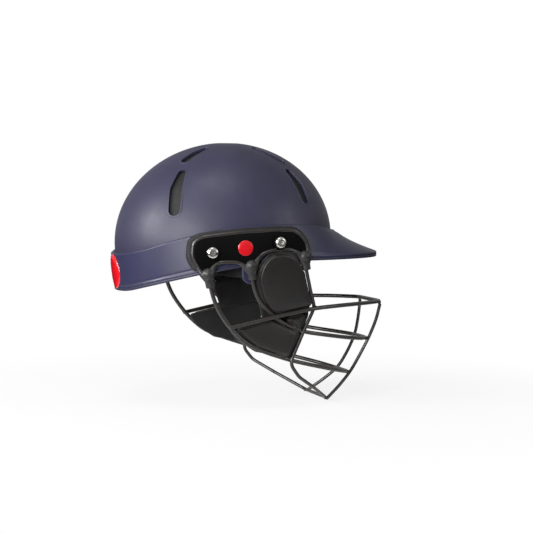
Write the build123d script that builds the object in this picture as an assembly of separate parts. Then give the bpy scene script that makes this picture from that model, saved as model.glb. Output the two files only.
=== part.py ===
from build123d import *
import math
import os

# A cricket batting helmet: a vented dome in a lower shell with a peak, two side plates on
# gaskets, and a welded steel face guard that slides up and down on the side plate screws.
# Millimetres. Top is +Z, the face looks to -Y, the wearer's left is +X.
# The origin is the middle of the dome's widest ring, where the head sits.
# Angles round the helmet are azimuths: 0 at the front, 90 at the wearer's left, 180 at the rear.
# Pieces of one side are made on the wearer's right, at -X, and mirrored.

# Dome shell
DOME_HALF_WIDTH = 101.0
DOME_HALF_LENGTH = 122.0
DOME_HEIGHT = 107.0
DOME_TILT = 5.3
DOME_WALL = 3.0
DOME_SKIRT = 20.0

# Vents in the dome: azimuth, elevation and share of the vent width, at both ends and between
VENT_WIDTH = 13.5
VENT_SHARES = (
    ((130.5, 47.5, 0.67), (131.2, 36.0, 0.85), (128.8, 22.8, 1.0)),
    ((135.0, 59.6, 0.81), (131.0, 66.5, 0.7), (119.5, 72.8, 0.44)),
    ((43.0, 65.3, 0.56), (40.8, 58.0, 0.74), (38.0, 49.5, 0.74)),
    ((45.5, 40.0, 0.67), (45.4, 31.0, 0.89), (47.8, 21.3, 0.89)),
)
MESH_MARGIN = 4.0
MESH_THICKNESS = 0.8
MESH_RECESS = 3.0

# Disc on the crown, a little ahead of the dome's pole
CROWN_DISC_RADIUS = 11.5
CROWN_DISC_THICKNESS = 1.5
CROWN_DISC_AHEAD = 14.0
CROWN_FLAT_DEPTH = 0.6

# Lower shell: the band round the head, flared into the peak at the front
BAND_HALF_WIDTH = 105.0
BAND_HALF_LENGTH = 126.0
BAND_FOOT_HALF_LENGTH = 122.0
BAND_WALL = 3.0
BAND_TOP_AT_REAR = -13.5
BAND_TOP_RISE = 32.5
PEAK_REACH = 178.0
RIM_DROP_AT_FRONT = 20.5
RIM_FALL_TO_REAR = 34.0
LIP_HEIGHT = 3.2
TRIM_HEIGHT = 2.8
SEAM_CLEARANCE = 0.3

# The section's bend, as shares of its reach and fall, and heights at every 15 degrees, front to
# rear, as shares of the rise of the band's top and of the fall of the rim
STATION_STEP = 15
FLARE_REACH_SHARE = 0.28
FLARE_FALL_SHARE = 0.49
BAND_TOP_SHARES = (0.72, 0.74, 0.81, 0.93, 0.985, 1.0, 0.965, 0.89, 0.69, 0.47, 0.2, 0.03, 0.0)
RIM_FALL_SHARES = (0.0, 0.0, 0.0, 0.0, 0.0, 0.03, 0.12, 0.25, 0.41, 0.6, 0.8, 0.97, 1.0)
BLOCK_INNER_RADIUS = 60.0
BLOCK_RAISE = 20.0

# Temple lobe: a tab inside the lower shell, in front of each ear, that carries the strap
LOBE_REAR = 8.0
LOBE_FRONT = -50.0
LOBE_BOTTOM = -44.0
LOBE_TOP = -14.0
LOBE_CORNER = 10.0
LOBE_INSET = 2.6
LOBE_WALL = 3.0

# Rear badge
REAR_BADGE_RADIUS = 19.0
REAR_BADGE_THICKNESS = 1.6
REAR_BADGE_DROP = 34.0
REAR_BADGE_LEAN = 4.0

# Side plate: part of an upright drum of this radius, its middle face this far from the centre
PLATE_RADIUS = 230.0
PLATE_OFFSET = 109.5
PLATE_THICKNESS = 2.0
SIDE_BADGE_RADIUS = 8.2
SIDE_BADGE_THICKNESS = 0.6
SIDE_BADGE_PLACE = (6.3, -5.3)

# Frame wire round the side plate, in side view: (forwards is minus) Y and Z
FRAME_WIRE_RADIUS = 1.8
PLATE_LENGTH = 128.0
PLATE_HEIGHT = 52.0
FRAME_SHARES = (
    (0.348, -0.75), (0.418, -0.6), (0.486, -0.28), (0.472, 0.04), (0.4, 0.125), (0.25, 0.175),
    (0.08, 0.22), (-0.08, 0.24), (-0.24, 0.25), (-0.4, 0.24), (-0.49, 0.02), (-0.528, -0.25),
    (-0.49, -0.46),
)
EAR_ARCH_SHARES = ((0.347, -0.71), (0.305, -0.385), (0.108, -0.375), (-0.004, -0.6))
CHEEK_ARCH_SHARES = (
    (-0.006, -0.57), (-0.07, -0.25), (-0.18, -0.15), (-0.34, -0.14), (-0.43, -0.22),
    (-0.485, -0.45),
)
FRAME_BEND = 16.0

# Where the cut of each arch runs on to below its feet
EAR_ARCH_DROP_SHARES = ((-0.03, -0.9), (0.345, -0.9))
CHEEK_ARCH_DROP_SHARES = ((-0.49, -0.9), (0.02, -0.9))

# Gasket between the band and the side plate
GASKET_MARGIN = 4.6
GASKET_ARCH_MARGIN = 4.8
GASKET_BOTTOM = -29.0

# Boots over the feet of the frame: top point in side view, and size
REAR_BOOT_TOP = (47.1, -27.4)
MIDDLE_BOOT_TOP = (0.7, -19.1)
FRONT_BOOT_TOP = (-60.4, -10.4)
BOOT_LENGTH = 20.0
BOOT_TOP_RADIUS = 6.3
BOOT_END_RADIUS = 5.0
BOOT_CLEARANCE = 0.3
BOOT_NOTCH = 0.5

# Side plate screws, in side view
SCREW_PLACES = ((41.4, -9.8), (-31.3, 0.1))
SCREW_RADIUS = 3.0
SCREW_HEAD_RADIUS = 6.2
SCREW_HEAD_HEIGHT = 3.6
SCREW_SOCKET_WIDTH = 5.0
SCREW_SOCKET_DEPTH = 2.2
WASHER_RADIUS = 8.0
WASHER_THICKNESS = 1.2
WASHER_FOOT_RADIUS = 4.6
WASHER_FOOT_HEIGHT = 0.8
TEE_NUT_FLANGE_RADIUS = 9.0
TEE_NUT_FLANGE = 1.5
TEE_NUT_BARREL_RADIUS = 4.2
TEE_NUT_BARREL = 7.0
TEE_NUT_BOSS = 2.0
THREAD_CLEARANCE = 0.05
RUNNING_CLEARANCE = 0.3

# The face guard slides this far up and down on its screws
GUARD_RAISE = 1.0
GUARD_LOWER = 4.0

# Face guard wires. Places are shares of its half width, its reach forwards and its drop
GUARD_HALF_WIDTH = 96.0
GUARD_REACH = 174.0
GUARD_DROP = 178.0
BAR_RADIUS = 2.1
FRONT_WIRE_RADIUS = 1.8
UPRIGHT_RADIUS = 1.7
SMOOTH_BEND = 120.0
NOSE_BEND = 14.0
TIGHT_BEND = 11.0
BEND_SHARE = 0.42
LOW_BAR_SHARES = (
    (1.04, -0.215, 0.365), (1.0, -0.112, 0.511), (0.979, 0.006, 0.618), (0.958, 0.138, 0.67),
    (0.912, 0.29, 0.72), (0.836, 0.437, 0.757), (0.688, 0.592, 0.795), (0.458, 0.736, 0.83),
    (0.215, 0.8, 0.848),
)
MIDDLE_BAR_SHARES = (
    (1.096, 0.02, 0.258), (1.042, 0.066, 0.351), (0.98, 0.178, 0.459), (0.92, 0.287, 0.517),
    (0.865, 0.391, 0.553), (0.79, 0.546, 0.579), (0.625, 0.73, 0.61), (0.406, 0.874, 0.629),
    (0.208, 0.929, 0.635),
)
FRONT_WIRE_SHARES = (
    (1.042, 0.37, 0.174), (0.968, 0.411, 0.303), (0.893, 0.451, 0.402), (0.912, 0.376, 0.545),
    (0.95, 0.28, 0.738), (0.915, 0.345, 0.823), (0.75, 0.471, 0.902), (0.365, 0.624, 0.997),
)
TOP_BAR_SHARES = (
    (1.044, -0.121, 0.506), (1.038, 0.126, 0.456), (0.948, 0.436, 0.406), (0.802, 0.644, 0.399),
    (0.583, 0.862, 0.397), (0.36, 1.0, 0.398),
)
UPRIGHT_SHARES = (
    (0.335, 1.004, 0.417), (0.302, 0.986, 0.517), (0.234, 0.949, 0.635), (0.214, 0.896, 0.736),
    (0.219, 0.825, 0.851), (0.302, 0.724, 0.938), (0.37, 0.632, 1.006),
)

# Cheek pads: three points (x, y, z) of each pad's middle plane, and the pads' corners (y, z)
UPPER_PAD_PLANE = ((-103.4, -5.0, -45.0), (-99.2, -62.0, -30.0), (-91.0, -55.0, -76.0))
LOWER_PAD_PLANE = ((-94.5, 19.5, -91.0), (-88.0, -65.5, -97.0), (-91.0, -48.8, -129.0))
UPPER_PAD_CORNERS = (
    (-8.5, -39.0), (-12.0, -24.0), (-21.0, -13.5), (-36.0, -10.8), (-50.0, -14.0),
    (-60.0, -27.0), (-67.5, -52.0), (-73.5, -68.0), (-28.0, -77.5), (-14.5, -58.0),
)
FRONT_PAD_CORNERS = ((-37.0, -83.0), (-70.5, -76.5), (-61.0, -95.0))
LOWER_PAD_CORNERS = (
    (14.5, -91.5), (-27.0, -82.0), (-60.5, -97.5), (-47.0, -124.0), (-38.0, -123.0),
    (-10.0, -113.0), (6.0, -101.0),
)
PAD_CORNER = 5.0
PAD_FLANGE = 1.5
UPPER_PAD_REACH = 2.5
LOWER_PAD_REACH = 1.2
PAD_BORDER = 3.0
PAD_CROWN = 4.2
PAD_ROLL = 3.0
PAD_BACK = 5.5
UPPER_LINER_CORNERS = ((-12.5, -56.0), (-67.0, -48.5), (-77.0, -72.5), (-21.0, -82.4))
LOWER_LINER_CORNERS = (
    (19.0, -90.1), (-78.0, -73.0), (-53.5, -127.0), (-12.0, -117.5), (8.5, -104.0),
)
LINER_THICKNESS = 6.0
LINER_ROLL = 2.0

# Foam and comfort pads inside the dome
LINER_GAP = 0.3
FOAM_THICKNESS = 13.0
FOAM_SKIRT = 17.0
COMFORT_THICKNESS = 8.0
COMFORT_LOW = -15.0
FRONT_PAD_HALF_WIDTH = 58.0
FRONT_PAD_TOP = 26.0
REAR_PAD_HALF_WIDTH = 48.0
REAR_PAD_TOP = 22.0
SIDE_PAD_HALF_LENGTH = 30.0
SIDE_PAD_TOP = 18.0
CROWN_PAD_RADIUS = 42.0

# Chin strap, put away inside the shell. It swings on two rivets through the temple lobes
STRAP_PIVOT = (-18.0, -34.0)
STRAP_STOW_ANGLE = 8.0
STRAP_WIDTH = 15.0
STRAP_THICKNESS = 1.6
STRAP_EYE_X = 97.2
STRAP_ROUTE = ((0.0, 7.0), (21.0, 27.0), (26.0, 58.0), (45.0, 90.0), (72.0, 101.0))
STRAP_BENDS = (8.0, 30.0, 40.0, 30.0)
STRAP_ROOM_RADIUS = 17.0
RIVET_RADIUS = 2.5
RIVET_HEAD_RADIUS = 5.5
RIVET_HEAD = 1.0
RIVET_CLEARANCE = 0.05
CHIN_CUP_LENGTH = 60.0
CHIN_CUP_WIDTH = 26.0
CHIN_CUP_THICKNESS = 5.0
BUCKLE_SHARE = 0.42
BUCKLE_LENGTH = 24.0
BUCKLE_PLUG_LENGTH = 14.0
BUCKLE_WIDTH = 21.0
BUCKLE_THICKNESS = 6.4
SLIDER_LENGTH = 9.0
SLIDER_THICKNESS = 5.0

# The plate's outer face and the washer's seat, measured from the frame wire's middle face
PLATE_FACE = PLATE_THICKNESS / 2
WASHER_SEAT = PLATE_FACE + RUNNING_CLEARANCE

# Cutting tools run past what they cut by this much
OVERRUN = 5.0

CENTRE = (0.0, 0.0, 0.0)


def tilted(part):
    """The dome's own frame leans back by the dome tilt."""
    return Rot(X=-DOME_TILT) * part


def dome_form(inset, skirt):
    """Half ellipsoid on a straight skirt, drawn in from the dome's outer face by inset."""
    half_width = DOME_HALF_WIDTH - inset
    half_length = DOME_HALF_LENGTH - inset
    half_ball = Sphere(1, arc_size1=0, align=(Align.CENTER, Align.CENTER, Align.MIN))
    cap = scale(half_ball, by=(half_width, half_length, DOME_HEIGHT - inset))
    wall = extrude(Ellipse(half_width, half_length), -skirt)
    return cap + wall


def dome_layer(outer_inset, inner_inset, skirt):
    """Layer of the dome between two insets."""
    return dome_form(outer_inset, skirt) - dome_form(inner_inset, skirt + OVERRUN)


def dome_point(azimuth, elevation):
    """Point of the dome's outer face in its own frame."""
    turn = math.radians(azimuth)
    rise = math.radians(elevation)
    return Vector(
        DOME_HALF_WIDTH * math.cos(rise) * math.sin(turn),
        -DOME_HALF_LENGTH * math.cos(rise) * math.cos(turn),
        DOME_HEIGHT * math.sin(rise),
    )


def dome_normal(point):
    """Outward direction of the dome's face at a point of its own frame."""
    return Vector(
        point.X / DOME_HALF_WIDTH**2, point.Y / DOME_HALF_LENGTH**2, point.Z / DOME_HEIGHT**2
    ).normalized()


def dome_reach(azimuth, height):
    """Level distance from the Z axis to the dome's outer face at a height."""
    turn = math.radians(azimuth)
    lean = math.radians(DOME_TILT)
    side = math.sin(turn) / DOME_HALF_WIDTH
    along = (-math.cos(turn) * math.cos(lean), -height * math.sin(lean))
    up = (-math.cos(turn) * math.sin(lean), height * math.cos(lean))
    terms = [(side, 0.0), (along[0] / DOME_HALF_LENGTH, along[1] / DOME_HALF_LENGTH)]
    full = terms + [(up[0] / DOME_HEIGHT, up[1] / DOME_HEIGHT)]
    reach = solve_reach(full)
    if up[0] * reach + up[1] < 0:
        reach = solve_reach(terms)
    return reach


def solve_reach(terms):
    """Positive r for which the sum of (a r + b) squared over the terms is one."""
    square = sum(a * a for a, b in terms)
    cross = sum(a * b for a, b in terms)
    rest = sum(b * b for a, b in terms) - 1.0
    return (-cross + math.sqrt(cross * cross - square * rest)) / square


def ellipse_reach(half_width, half_length, azimuth):
    """Distance from the centre to an ellipse at an azimuth."""
    turn = math.radians(azimuth)
    return 1.0 / math.hypot(math.sin(turn) / half_width, math.cos(turn) / half_length)


def vent_tool(vent, side, margin):
    """Tapered, slightly bowed slot through the dome on one side, widened by a margin."""
    places = [dome_point(side * azimuth, elevation) for azimuth, elevation, share in vent]
    middle = (places[0] + places[-1]) * 0.5
    plane = Plane(middle, x_dir=places[-1] - places[0], z_dir=dome_normal(middle))
    rims = ShapeList()
    for place, (azimuth, elevation, share) in zip(places, vent):
        local = plane.to_local_coords(place)
        rims += (Pos(local.X, local.Y) * Circle(VENT_WIDTH * share / 2 + margin)).edges()
    return extrude(plane * make_hull(rims), DOME_WALL * 5, both=True)


def vent_tools(margin):
    """All vents, both sides."""
    return [vent_tool(vent, side, margin) for vent in VENT_SHARES for side in (-1, 1)]


def crown_plane(depth):
    """Plane across the crown disc's place, this deep under the dome's face."""
    height = math.sqrt(1.0 - (CROWN_DISC_AHEAD / DOME_HALF_LENGTH) ** 2) * DOME_HEIGHT
    point = Vector(0.0, -CROWN_DISC_AHEAD, height)
    normal = dome_normal(point)
    return Plane(point - normal * depth, z_dir=normal)


def plate_x(y, step):
    """X of the right side plate at y, this far outside its middle face."""
    drum = PLATE_RADIUS + step
    return PLATE_RADIUS - PLATE_OFFSET - math.sqrt(drum * drum - y * y)


def plate_drum(step):
    """Upright drum whose wall is the right side plate's middle face moved out by step."""
    return Pos(PLATE_RADIUS - PLATE_OFFSET, 0) * Cylinder(PLATE_RADIUS + step, PLATE_RADIUS)


def plate_place(place, step):
    """Point on the right side plate from its side view place."""
    return Vector(plate_x(place[0], step), place[0], place[1])


def screw_plane(place, step):
    """Plane across a screw, facing outwards, this far outside the plate's middle face."""
    point = plate_place(place, 0.0)
    outward = Vector(point.X - (PLATE_RADIUS - PLATE_OFFSET), point.Y, 0.0).normalized()
    return Plane(point + outward * step, x_dir=(0, 0, 1), z_dir=outward)


def side_points(shares):
    """Side view places on the plate from shares of its length and height."""
    return [(y * PLATE_LENGTH, z * PLATE_HEIGHT) for y, z in shares]


def side_face(points, radius):
    """Rounded outline in side view, a face in the plane x = 0."""
    outline = FilletPolyline([(0.0, y, z) for y, z in points], radius=radius, close=True)
    return Face(Wire(outline.edges()))


def side_prism(face, near, far):
    """Prism of a side view face between two distances on the right side."""
    return extrude(Pos(-near, 0, 0) * face, far - near, dir=(-1, 0, 0))


def oval_plan(half_width, front_length, rear_length):
    """Plan of two half ellipses that meet at the sides."""
    width = half_width * 2.0
    front = Ellipse(half_width, front_length) & Pos(0, -front_length) * Rectangle(
        width, front_length * 2.0
    )
    rear = Ellipse(half_width, rear_length) & Pos(0, rear_length) * Rectangle(
        width, rear_length * 2.0
    )
    return front + rear


def band_envelope(grow, low, high):
    """Upright prism on the plan of the band's foot and the peak's edge."""
    plan = oval_plan(BAND_HALF_WIDTH + grow, PEAK_REACH + grow, BAND_FOOT_HALF_LENGTH + grow)
    return extrude(Pos(0, 0, low) * plan, high - low)


def station_heights(azimuth):
    """Height of the band's top and of the rim at a station."""
    turn = azimuth % 360
    if turn > 180:
        turn = 360 - turn
    index = turn // STATION_STEP
    top = BAND_TOP_AT_REAR + BAND_TOP_RISE * BAND_TOP_SHARES[index]
    rim = -RIM_DROP_AT_FRONT - RIM_FALL_TO_REAR * RIM_FALL_SHARES[index]
    return top, rim


def station_reaches(azimuth):
    """Outer reach of the band's top and of its edge at a station."""
    front = math.cos(math.radians(azimuth)) > 0
    length = PEAK_REACH if front else BAND_FOOT_HALF_LENGTH
    top = ellipse_reach(BAND_HALF_WIDTH, BAND_HALF_LENGTH, azimuth)
    edge = ellipse_reach(BAND_HALF_WIDTH, length, azimuth)
    return top, edge


def station_plane(azimuth):
    """Upright plane through the Z axis: its x is the reach and its y the height."""
    turn = math.radians(azimuth)
    outward = (math.sin(turn), -math.cos(turn), 0)
    return Plane(CENTRE, x_dir=outward, z_dir=(-math.cos(turn), -math.sin(turn), 0))


def unit(pair):
    """Pair of numbers scaled to length one."""
    length = math.hypot(pair[0], pair[1])
    return pair[0] / length, pair[1] / length


def band_section(azimuth):
    """Closed section of the lower shell at a station, with its lip."""
    top, rim = station_heights(azimuth)
    top_reach, edge_reach = station_reaches(azimuth)
    low = rim + TRIM_HEIGHT
    start = (top_reach, top)
    end = (edge_reach, low + LIP_HEIGHT)
    reach = end[0] - start[0]
    fall = start[1] - end[1]
    bend = (start[0] + FLARE_REACH_SHARE * reach, start[1] - FLARE_FALL_SHARE * fall)
    first = unit((bend[0] - start[0], bend[1] - start[1]))
    last = unit((end[0] - bend[0], end[1] - bend[1]))
    spread = 1.0 + first[0] * last[0] + first[1] * last[1]
    inner_bend = (
        bend[0] + BAND_WALL * (first[1] + last[1]) / spread,
        bend[1] - BAND_WALL * (first[0] + last[0]) / spread,
    )
    slip = BAND_WALL * last[0] / (1.0 - last[1])
    inner_end = (edge_reach - BAND_WALL, end[1] - BAND_WALL * last[0] - slip * last[1])
    inner_start = (dome_reach(azimuth, top) + SEAM_CLEARANCE, top)
    outline = [
        Bezier(start, bend, end),
        Line(end, (edge_reach, low)),
        Line((edge_reach, low), (edge_reach - BAND_WALL, low)),
        Line((edge_reach - BAND_WALL, low), inner_end),
        Bezier(inner_end, inner_bend, inner_start),
        Line(inner_start, start),
    ]
    return station_plane(azimuth) * Face(Wire(outline))


def block_section(azimuth):
    """Section of the band's outer form, filled inwards and carried upwards."""
    top, rim = station_heights(azimuth)
    top_reach, edge_reach = station_reaches(azimuth)
    low = rim + TRIM_HEIGHT
    start = (top_reach, top)
    end = (edge_reach, low + LIP_HEIGHT)
    reach = end[0] - start[0]
    fall = start[1] - end[1]
    bend = (start[0] + FLARE_REACH_SHARE * reach, start[1] - FLARE_FALL_SHARE * fall)
    roof = top + BLOCK_RAISE
    outline = [
        Bezier(start, bend, end),
        Line(end, (edge_reach, rim)),
        Line((edge_reach, rim), (BLOCK_INNER_RADIUS, rim)),
        Line((BLOCK_INNER_RADIUS, rim), (BLOCK_INNER_RADIUS, roof)),
        Line((BLOCK_INNER_RADIUS, roof), (top_reach, roof)),
        Line((top_reach, roof), start),
    ]
    return station_plane(azimuth) * Face(Wire(outline))


def trim_section(azimuth):
    """Section of the edge trim at a station."""
    rim = station_heights(azimuth)[1]
    edge_reach = station_reaches(azimuth)[1]
    corners = [
        (edge_reach, rim + TRIM_HEIGHT),
        (edge_reach, rim),
        (edge_reach - BAND_WALL, rim),
        (edge_reach - BAND_WALL, rim + TRIM_HEIGHT),
    ]
    return station_plane(azimuth) * Face(Wire(Polyline(corners, close=True).edges()))


def ring_loft(section, first, last):
    """Solid through the sections from one station to another."""
    return loft([section(azimuth) for azimuth in range(first, last + 1, STATION_STEP)])


def lobe_profile():
    """Side view of a temple lobe."""
    corners = [
        (LOBE_REAR, LOBE_TOP), (LOBE_REAR, LOBE_BOTTOM), (LOBE_FRONT, LOBE_BOTTOM),
        (LOBE_FRONT, LOBE_TOP),
    ]
    return side_face(corners, [0, LOBE_CORNER, LOBE_CORNER, 0])


def temple_lobe():
    """Right temple lobe, inside the band's wall, with its rivet hole."""
    ring = band_envelope(-LOBE_INSET, LOBE_BOTTOM, LOBE_TOP) - band_envelope(
        -LOBE_INSET - LOBE_WALL, LOBE_BOTTOM, LOBE_TOP
    )
    lobe = ring & side_prism(lobe_profile(), 0.0, BAND_HALF_WIDTH)
    lobe -= tilted(dome_form(-SEAM_CLEARANCE, DOME_SKIRT + SEAM_CLEARANCE))
    hole = Plane(strap_pivot_point(), z_dir=(-1, 0, 0)) * Circle(RIVET_RADIUS)
    return lobe - extrude(hole, BAND_HALF_WIDTH, both=True)


def strap_pivot_point():
    """Middle of the strap's eye on the right side."""
    return Vector(-STRAP_EYE_X, STRAP_PIVOT[0], STRAP_PIVOT[1])


def screw_bore(place, radius, near, far):
    """Round tool along a screw's axis between two distances from the plate's middle face."""
    return extrude(screw_plane(place, near) * Circle(radius), far - near)


def tee_nut_seat(place):
    """Distance along the screw from the plate's middle face in to the tee nut's flange."""
    skirt_reach = DOME_HALF_WIDTH - DOME_WALL
    inner_x = skirt_reach * math.sqrt(1.0 - (place[0] / (DOME_HALF_LENGTH - DOME_WALL)) ** 2)
    return -plate_x(place[0], 0.0) - inner_x + TEE_NUT_BOSS


def both_sides(part):
    """A piece and its mirror image, as one part."""
    return part + mirror(part, Plane.YZ)


def make_shell_bores():
    """Bores for the tee nuts through dome and band, both sides."""
    tools = Part()
    for place in SCREW_PLACES:
        tools += screw_bore(place, TEE_NUT_BARREL_RADIUS, -PLATE_OFFSET / 3, PLATE_THICKNESS)
    return both_sides(tools)


def make_dome(bores):
    """Dome shell with its vents, crown flat and tee nut bosses."""
    shell = dome_layer(0.0, DOME_WALL, DOME_SKIRT)
    pad = crown_plane(CROWN_FLAT_DEPTH + CROWN_DISC_THICKNESS + DOME_WALL)
    backing = extrude(pad * Circle(CROWN_DISC_RADIUS + DOME_WALL), DOME_WALL)
    shell += backing & dome_form(0.0, DOME_SKIRT)
    flat = crown_plane(CROWN_FLAT_DEPTH + CROWN_DISC_THICKNESS)
    shell -= extrude(flat * Circle(CROWN_DISC_RADIUS), OVERRUN)
    shell -= extrude(crown_plane(CROWN_FLAT_DEPTH) * Circle(CROWN_DISC_RADIUS * 2), OVERRUN)
    for tool in vent_tools(0.0):
        shell -= tool
    shell = tilted(shell)
    cavity = tilted(dome_form(DOME_WALL, DOME_SKIRT))
    bosses = Part()
    for place in SCREW_PLACES:
        seat = tee_nut_seat(place)
        boss = screw_bore(place, TEE_NUT_FLANGE_RADIUS, -seat, OVERRUN - seat)
        bosses += boss & cavity
    return shell + both_sides(bosses) - bores


def make_crown_disc():
    """Flat disc let into the crown."""
    plane = crown_plane(CROWN_FLAT_DEPTH + CROWN_DISC_THICKNESS)
    return tilted(extrude(plane * Circle(CROWN_DISC_RADIUS), CROWN_DISC_THICKNESS))


def make_lower_shell(bores):
    """Band, peak and temple lobes in one moulding."""
    front = ring_loft(band_section, -90, 90)
    rear = ring_loft(band_section, 90, 270)
    lobe = temple_lobe()
    return front + rear + both_sides(lobe) - bores


def lobe_gap():
    """Room that the temple lobes take out of the trim, both sides."""
    block = Box(DOME_HALF_WIDTH, LOBE_REAR - LOBE_FRONT, LOBE_TOP - LOBE_BOTTOM)
    middle = Pos(-DOME_HALF_WIDTH, (LOBE_REAR + LOBE_FRONT) / 2, (LOBE_TOP + LOBE_BOTTOM) / 2)
    return both_sides(middle * block)


def make_rear_badge(shell, trim):
    """Round badge on the rear of the band, bedded on its curve."""
    lean = Rot(X=90 - REAR_BADGE_LEAN)
    place = Pos(0, BAND_FOOT_HALF_LENGTH, -REAR_BADGE_DROP)
    tool = place * lean * Cylinder(REAR_BADGE_RADIUS, OVERRUN * 4)
    plan = Ellipse(BAND_HALF_WIDTH, BAND_HALF_LENGTH + REAR_BADGE_THICKNESS)
    foot = Ellipse(BAND_HALF_WIDTH, BAND_FOOT_HALF_LENGTH + REAR_BADGE_THICKNESS)
    low = -RIM_DROP_AT_FRONT - RIM_FALL_TO_REAR
    outer = loft([Pos(0, 0, low) * foot, Pos(0, 0, BAND_TOP_AT_REAR) * plan])
    inside = ring_loft(block_section, 150, 210)
    return largest((tool & outer) - inside - shell - trim)


def make_mesh():
    """Patches of mesh behind the vents."""
    layer = dome_layer(DOME_WALL + LINER_GAP / 3, DOME_WALL + MESH_THICKNESS, DOME_SKIRT)
    patches = Part()
    for tool in vent_tools(MESH_MARGIN):
        patches += layer & tool
    return tilted(patches)


def make_foam():
    """Foam liner with recesses for the mesh and pockets for the tee nuts."""
    inset = DOME_WALL + LINER_GAP
    foam = dome_layer(inset, inset + FOAM_THICKNESS, FOAM_SKIRT)
    recess = dome_form(inset, DOME_SKIRT) - dome_form(inset + MESH_RECESS, DOME_SKIRT)
    for tool in vent_tools(MESH_MARGIN + LINER_GAP):
        foam -= recess & tool
    disc = crown_plane(CROWN_FLAT_DEPTH + CROWN_DISC_THICKNESS + DOME_WALL + LINER_GAP)
    foam -= extrude(disc * Circle(CROWN_DISC_RADIUS + DOME_WALL + LINER_GAP), OVERRUN)
    pockets = Part()
    for place in SCREW_PLACES:
        seat = tee_nut_seat(place)
        radius = TEE_NUT_FLANGE_RADIUS + LINER_GAP
        pockets += screw_bore(place, radius, -seat - TEE_NUT_FLANGE - LINER_GAP, OVERRUN - seat)
    return tilted(foam) - both_sides(pockets)


def comfort_piece(region):
    """Comfort pad: the part of the innermost layer inside a region of the dome's frame."""
    inset = DOME_WALL + LINER_GAP + FOAM_THICKNESS
    layer = dome_layer(inset, inset + COMFORT_THICKNESS, FOAM_SKIRT)
    return tilted(layer & region)


def region_box(half_width, low_y, high_y, top):
    """Box in the dome's frame from the comfort pads' lower edge up to top."""
    middle = Pos(0, (low_y + high_y) / 2, (COMFORT_LOW + top) / 2)
    return middle * Box(half_width * 2, high_y - low_y, top - COMFORT_LOW)


def make_front_sweatband():
    """Pad across the forehead."""
    region = region_box(FRONT_PAD_HALF_WIDTH, -DOME_HALF_LENGTH, 0.0, FRONT_PAD_TOP)
    return comfort_piece(region)


def make_rear_pad():
    """Pad behind the head."""
    region = region_box(REAR_PAD_HALF_WIDTH, 0.0, DOME_HALF_LENGTH, REAR_PAD_TOP)
    return comfort_piece(region)


def make_side_pad():
    """Pad at the wearer's right temple."""
    half = SIDE_PAD_HALF_LENGTH
    region = Pos(-DOME_HALF_WIDTH, 0) * region_box(DOME_HALF_WIDTH, -half, half, SIDE_PAD_TOP)
    return comfort_piece(region)


def make_crown_pad():
    """Round pad over the top of the head."""
    return comfort_piece(Pos(0, 0, DOME_HEIGHT) * Cylinder(CROWN_PAD_RADIUS, DOME_HEIGHT))


def plate_region():
    """Side view of the whole side plate, before its arches are cut."""
    return side_face(side_points(FRAME_SHARES), frame_radii(FRAME_SHARES, True))


def frame_radii(shares, closed):
    """Bend radii for a frame wire's corners."""
    points = [Vector(0.0, y, z) for y, z in side_points(shares)]
    return corner_radii(points, [FRAME_BEND] * len(points), closed)


def corner_radii(points, caps, closed):
    """Largest radii that the runs beside each corner allow, up to their caps."""
    radii = []
    count = len(points)
    corners = range(count) if closed else range(1, count - 1)
    for number, index in enumerate(corners):
        before = points[index] - points[index - 1]
        after = points[(index + 1) % count] - points[index]
        turn = math.radians(before.get_angle(after)) / 2
        room = BEND_SHARE * min(before.length, after.length) / math.tan(turn)
        radii.append(min(caps[number], room))
    return radii


def arch_faces():
    """Side views of the ear arch and the cheek arch, run on below their feet."""
    faces = []
    for shares, drop in (
        (EAR_ARCH_SHARES, EAR_ARCH_DROP_SHARES), (CHEEK_ARCH_SHARES, CHEEK_ARCH_DROP_SHARES),
    ):
        radii = [0] + frame_radii(shares, False) + [0, 0, 0]
        faces.append(side_face(side_points(shares + drop), radii))
    return faces


def bent_wire(points, radius, caps):
    """Round wire along straight runs and tangent bends."""
    path = FilletPolyline(points, radius=corner_radii(points, caps, False))
    start = Plane(path @ 0, z_dir=path % 0)
    return sweep(start * Circle(radius), path=Wire(path.edges()))


def frame_wire(shares, radius):
    """Wire on the right side plate's middle face."""
    points = [plate_place(place, 0.0) for place in side_points(shares)]
    return bent_wire(points, radius, [FRAME_BEND] * len(points))


def make_frame(grow):
    """Frame wire of the right side with its ear arch and cheek arch."""
    frame = Part()
    for shares in (FRAME_SHARES, EAR_ARCH_SHARES, CHEEK_ARCH_SHARES):
        frame += frame_wire(shares, FRAME_WIRE_RADIUS + grow)
    return frame


def make_plate(frame, wires):
    """Right side plate, inside its frame wire, with upright slots for the screws."""
    face = plate_region()
    for arch in arch_faces():
        face = face - arch
    prism = side_prism(face, DOME_HALF_WIDTH / 2, PLATE_OFFSET + OVERRUN)
    plate = prism & (plate_drum(PLATE_FACE) - plate_drum(PLATE_FACE - PLATE_THICKNESS))
    for place in SCREW_PLACES:
        slot = SlotCenterToCenter(
            GUARD_RAISE + GUARD_LOWER, (SCREW_RADIUS + RUNNING_CLEARANCE) * 2
        )
        raised = Pos((GUARD_LOWER - GUARD_RAISE) / 2, 0) * slot
        plate -= extrude(screw_plane(place, -OVERRUN) * raised, OVERRUN * 2)
    for tool in [frame] + wires:
        plate -= tool
    return largest(plate)


def largest(part):
    """The largest solid of a part."""
    return part.solids().sort_by(SortBy.VOLUME)[-1]


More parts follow.
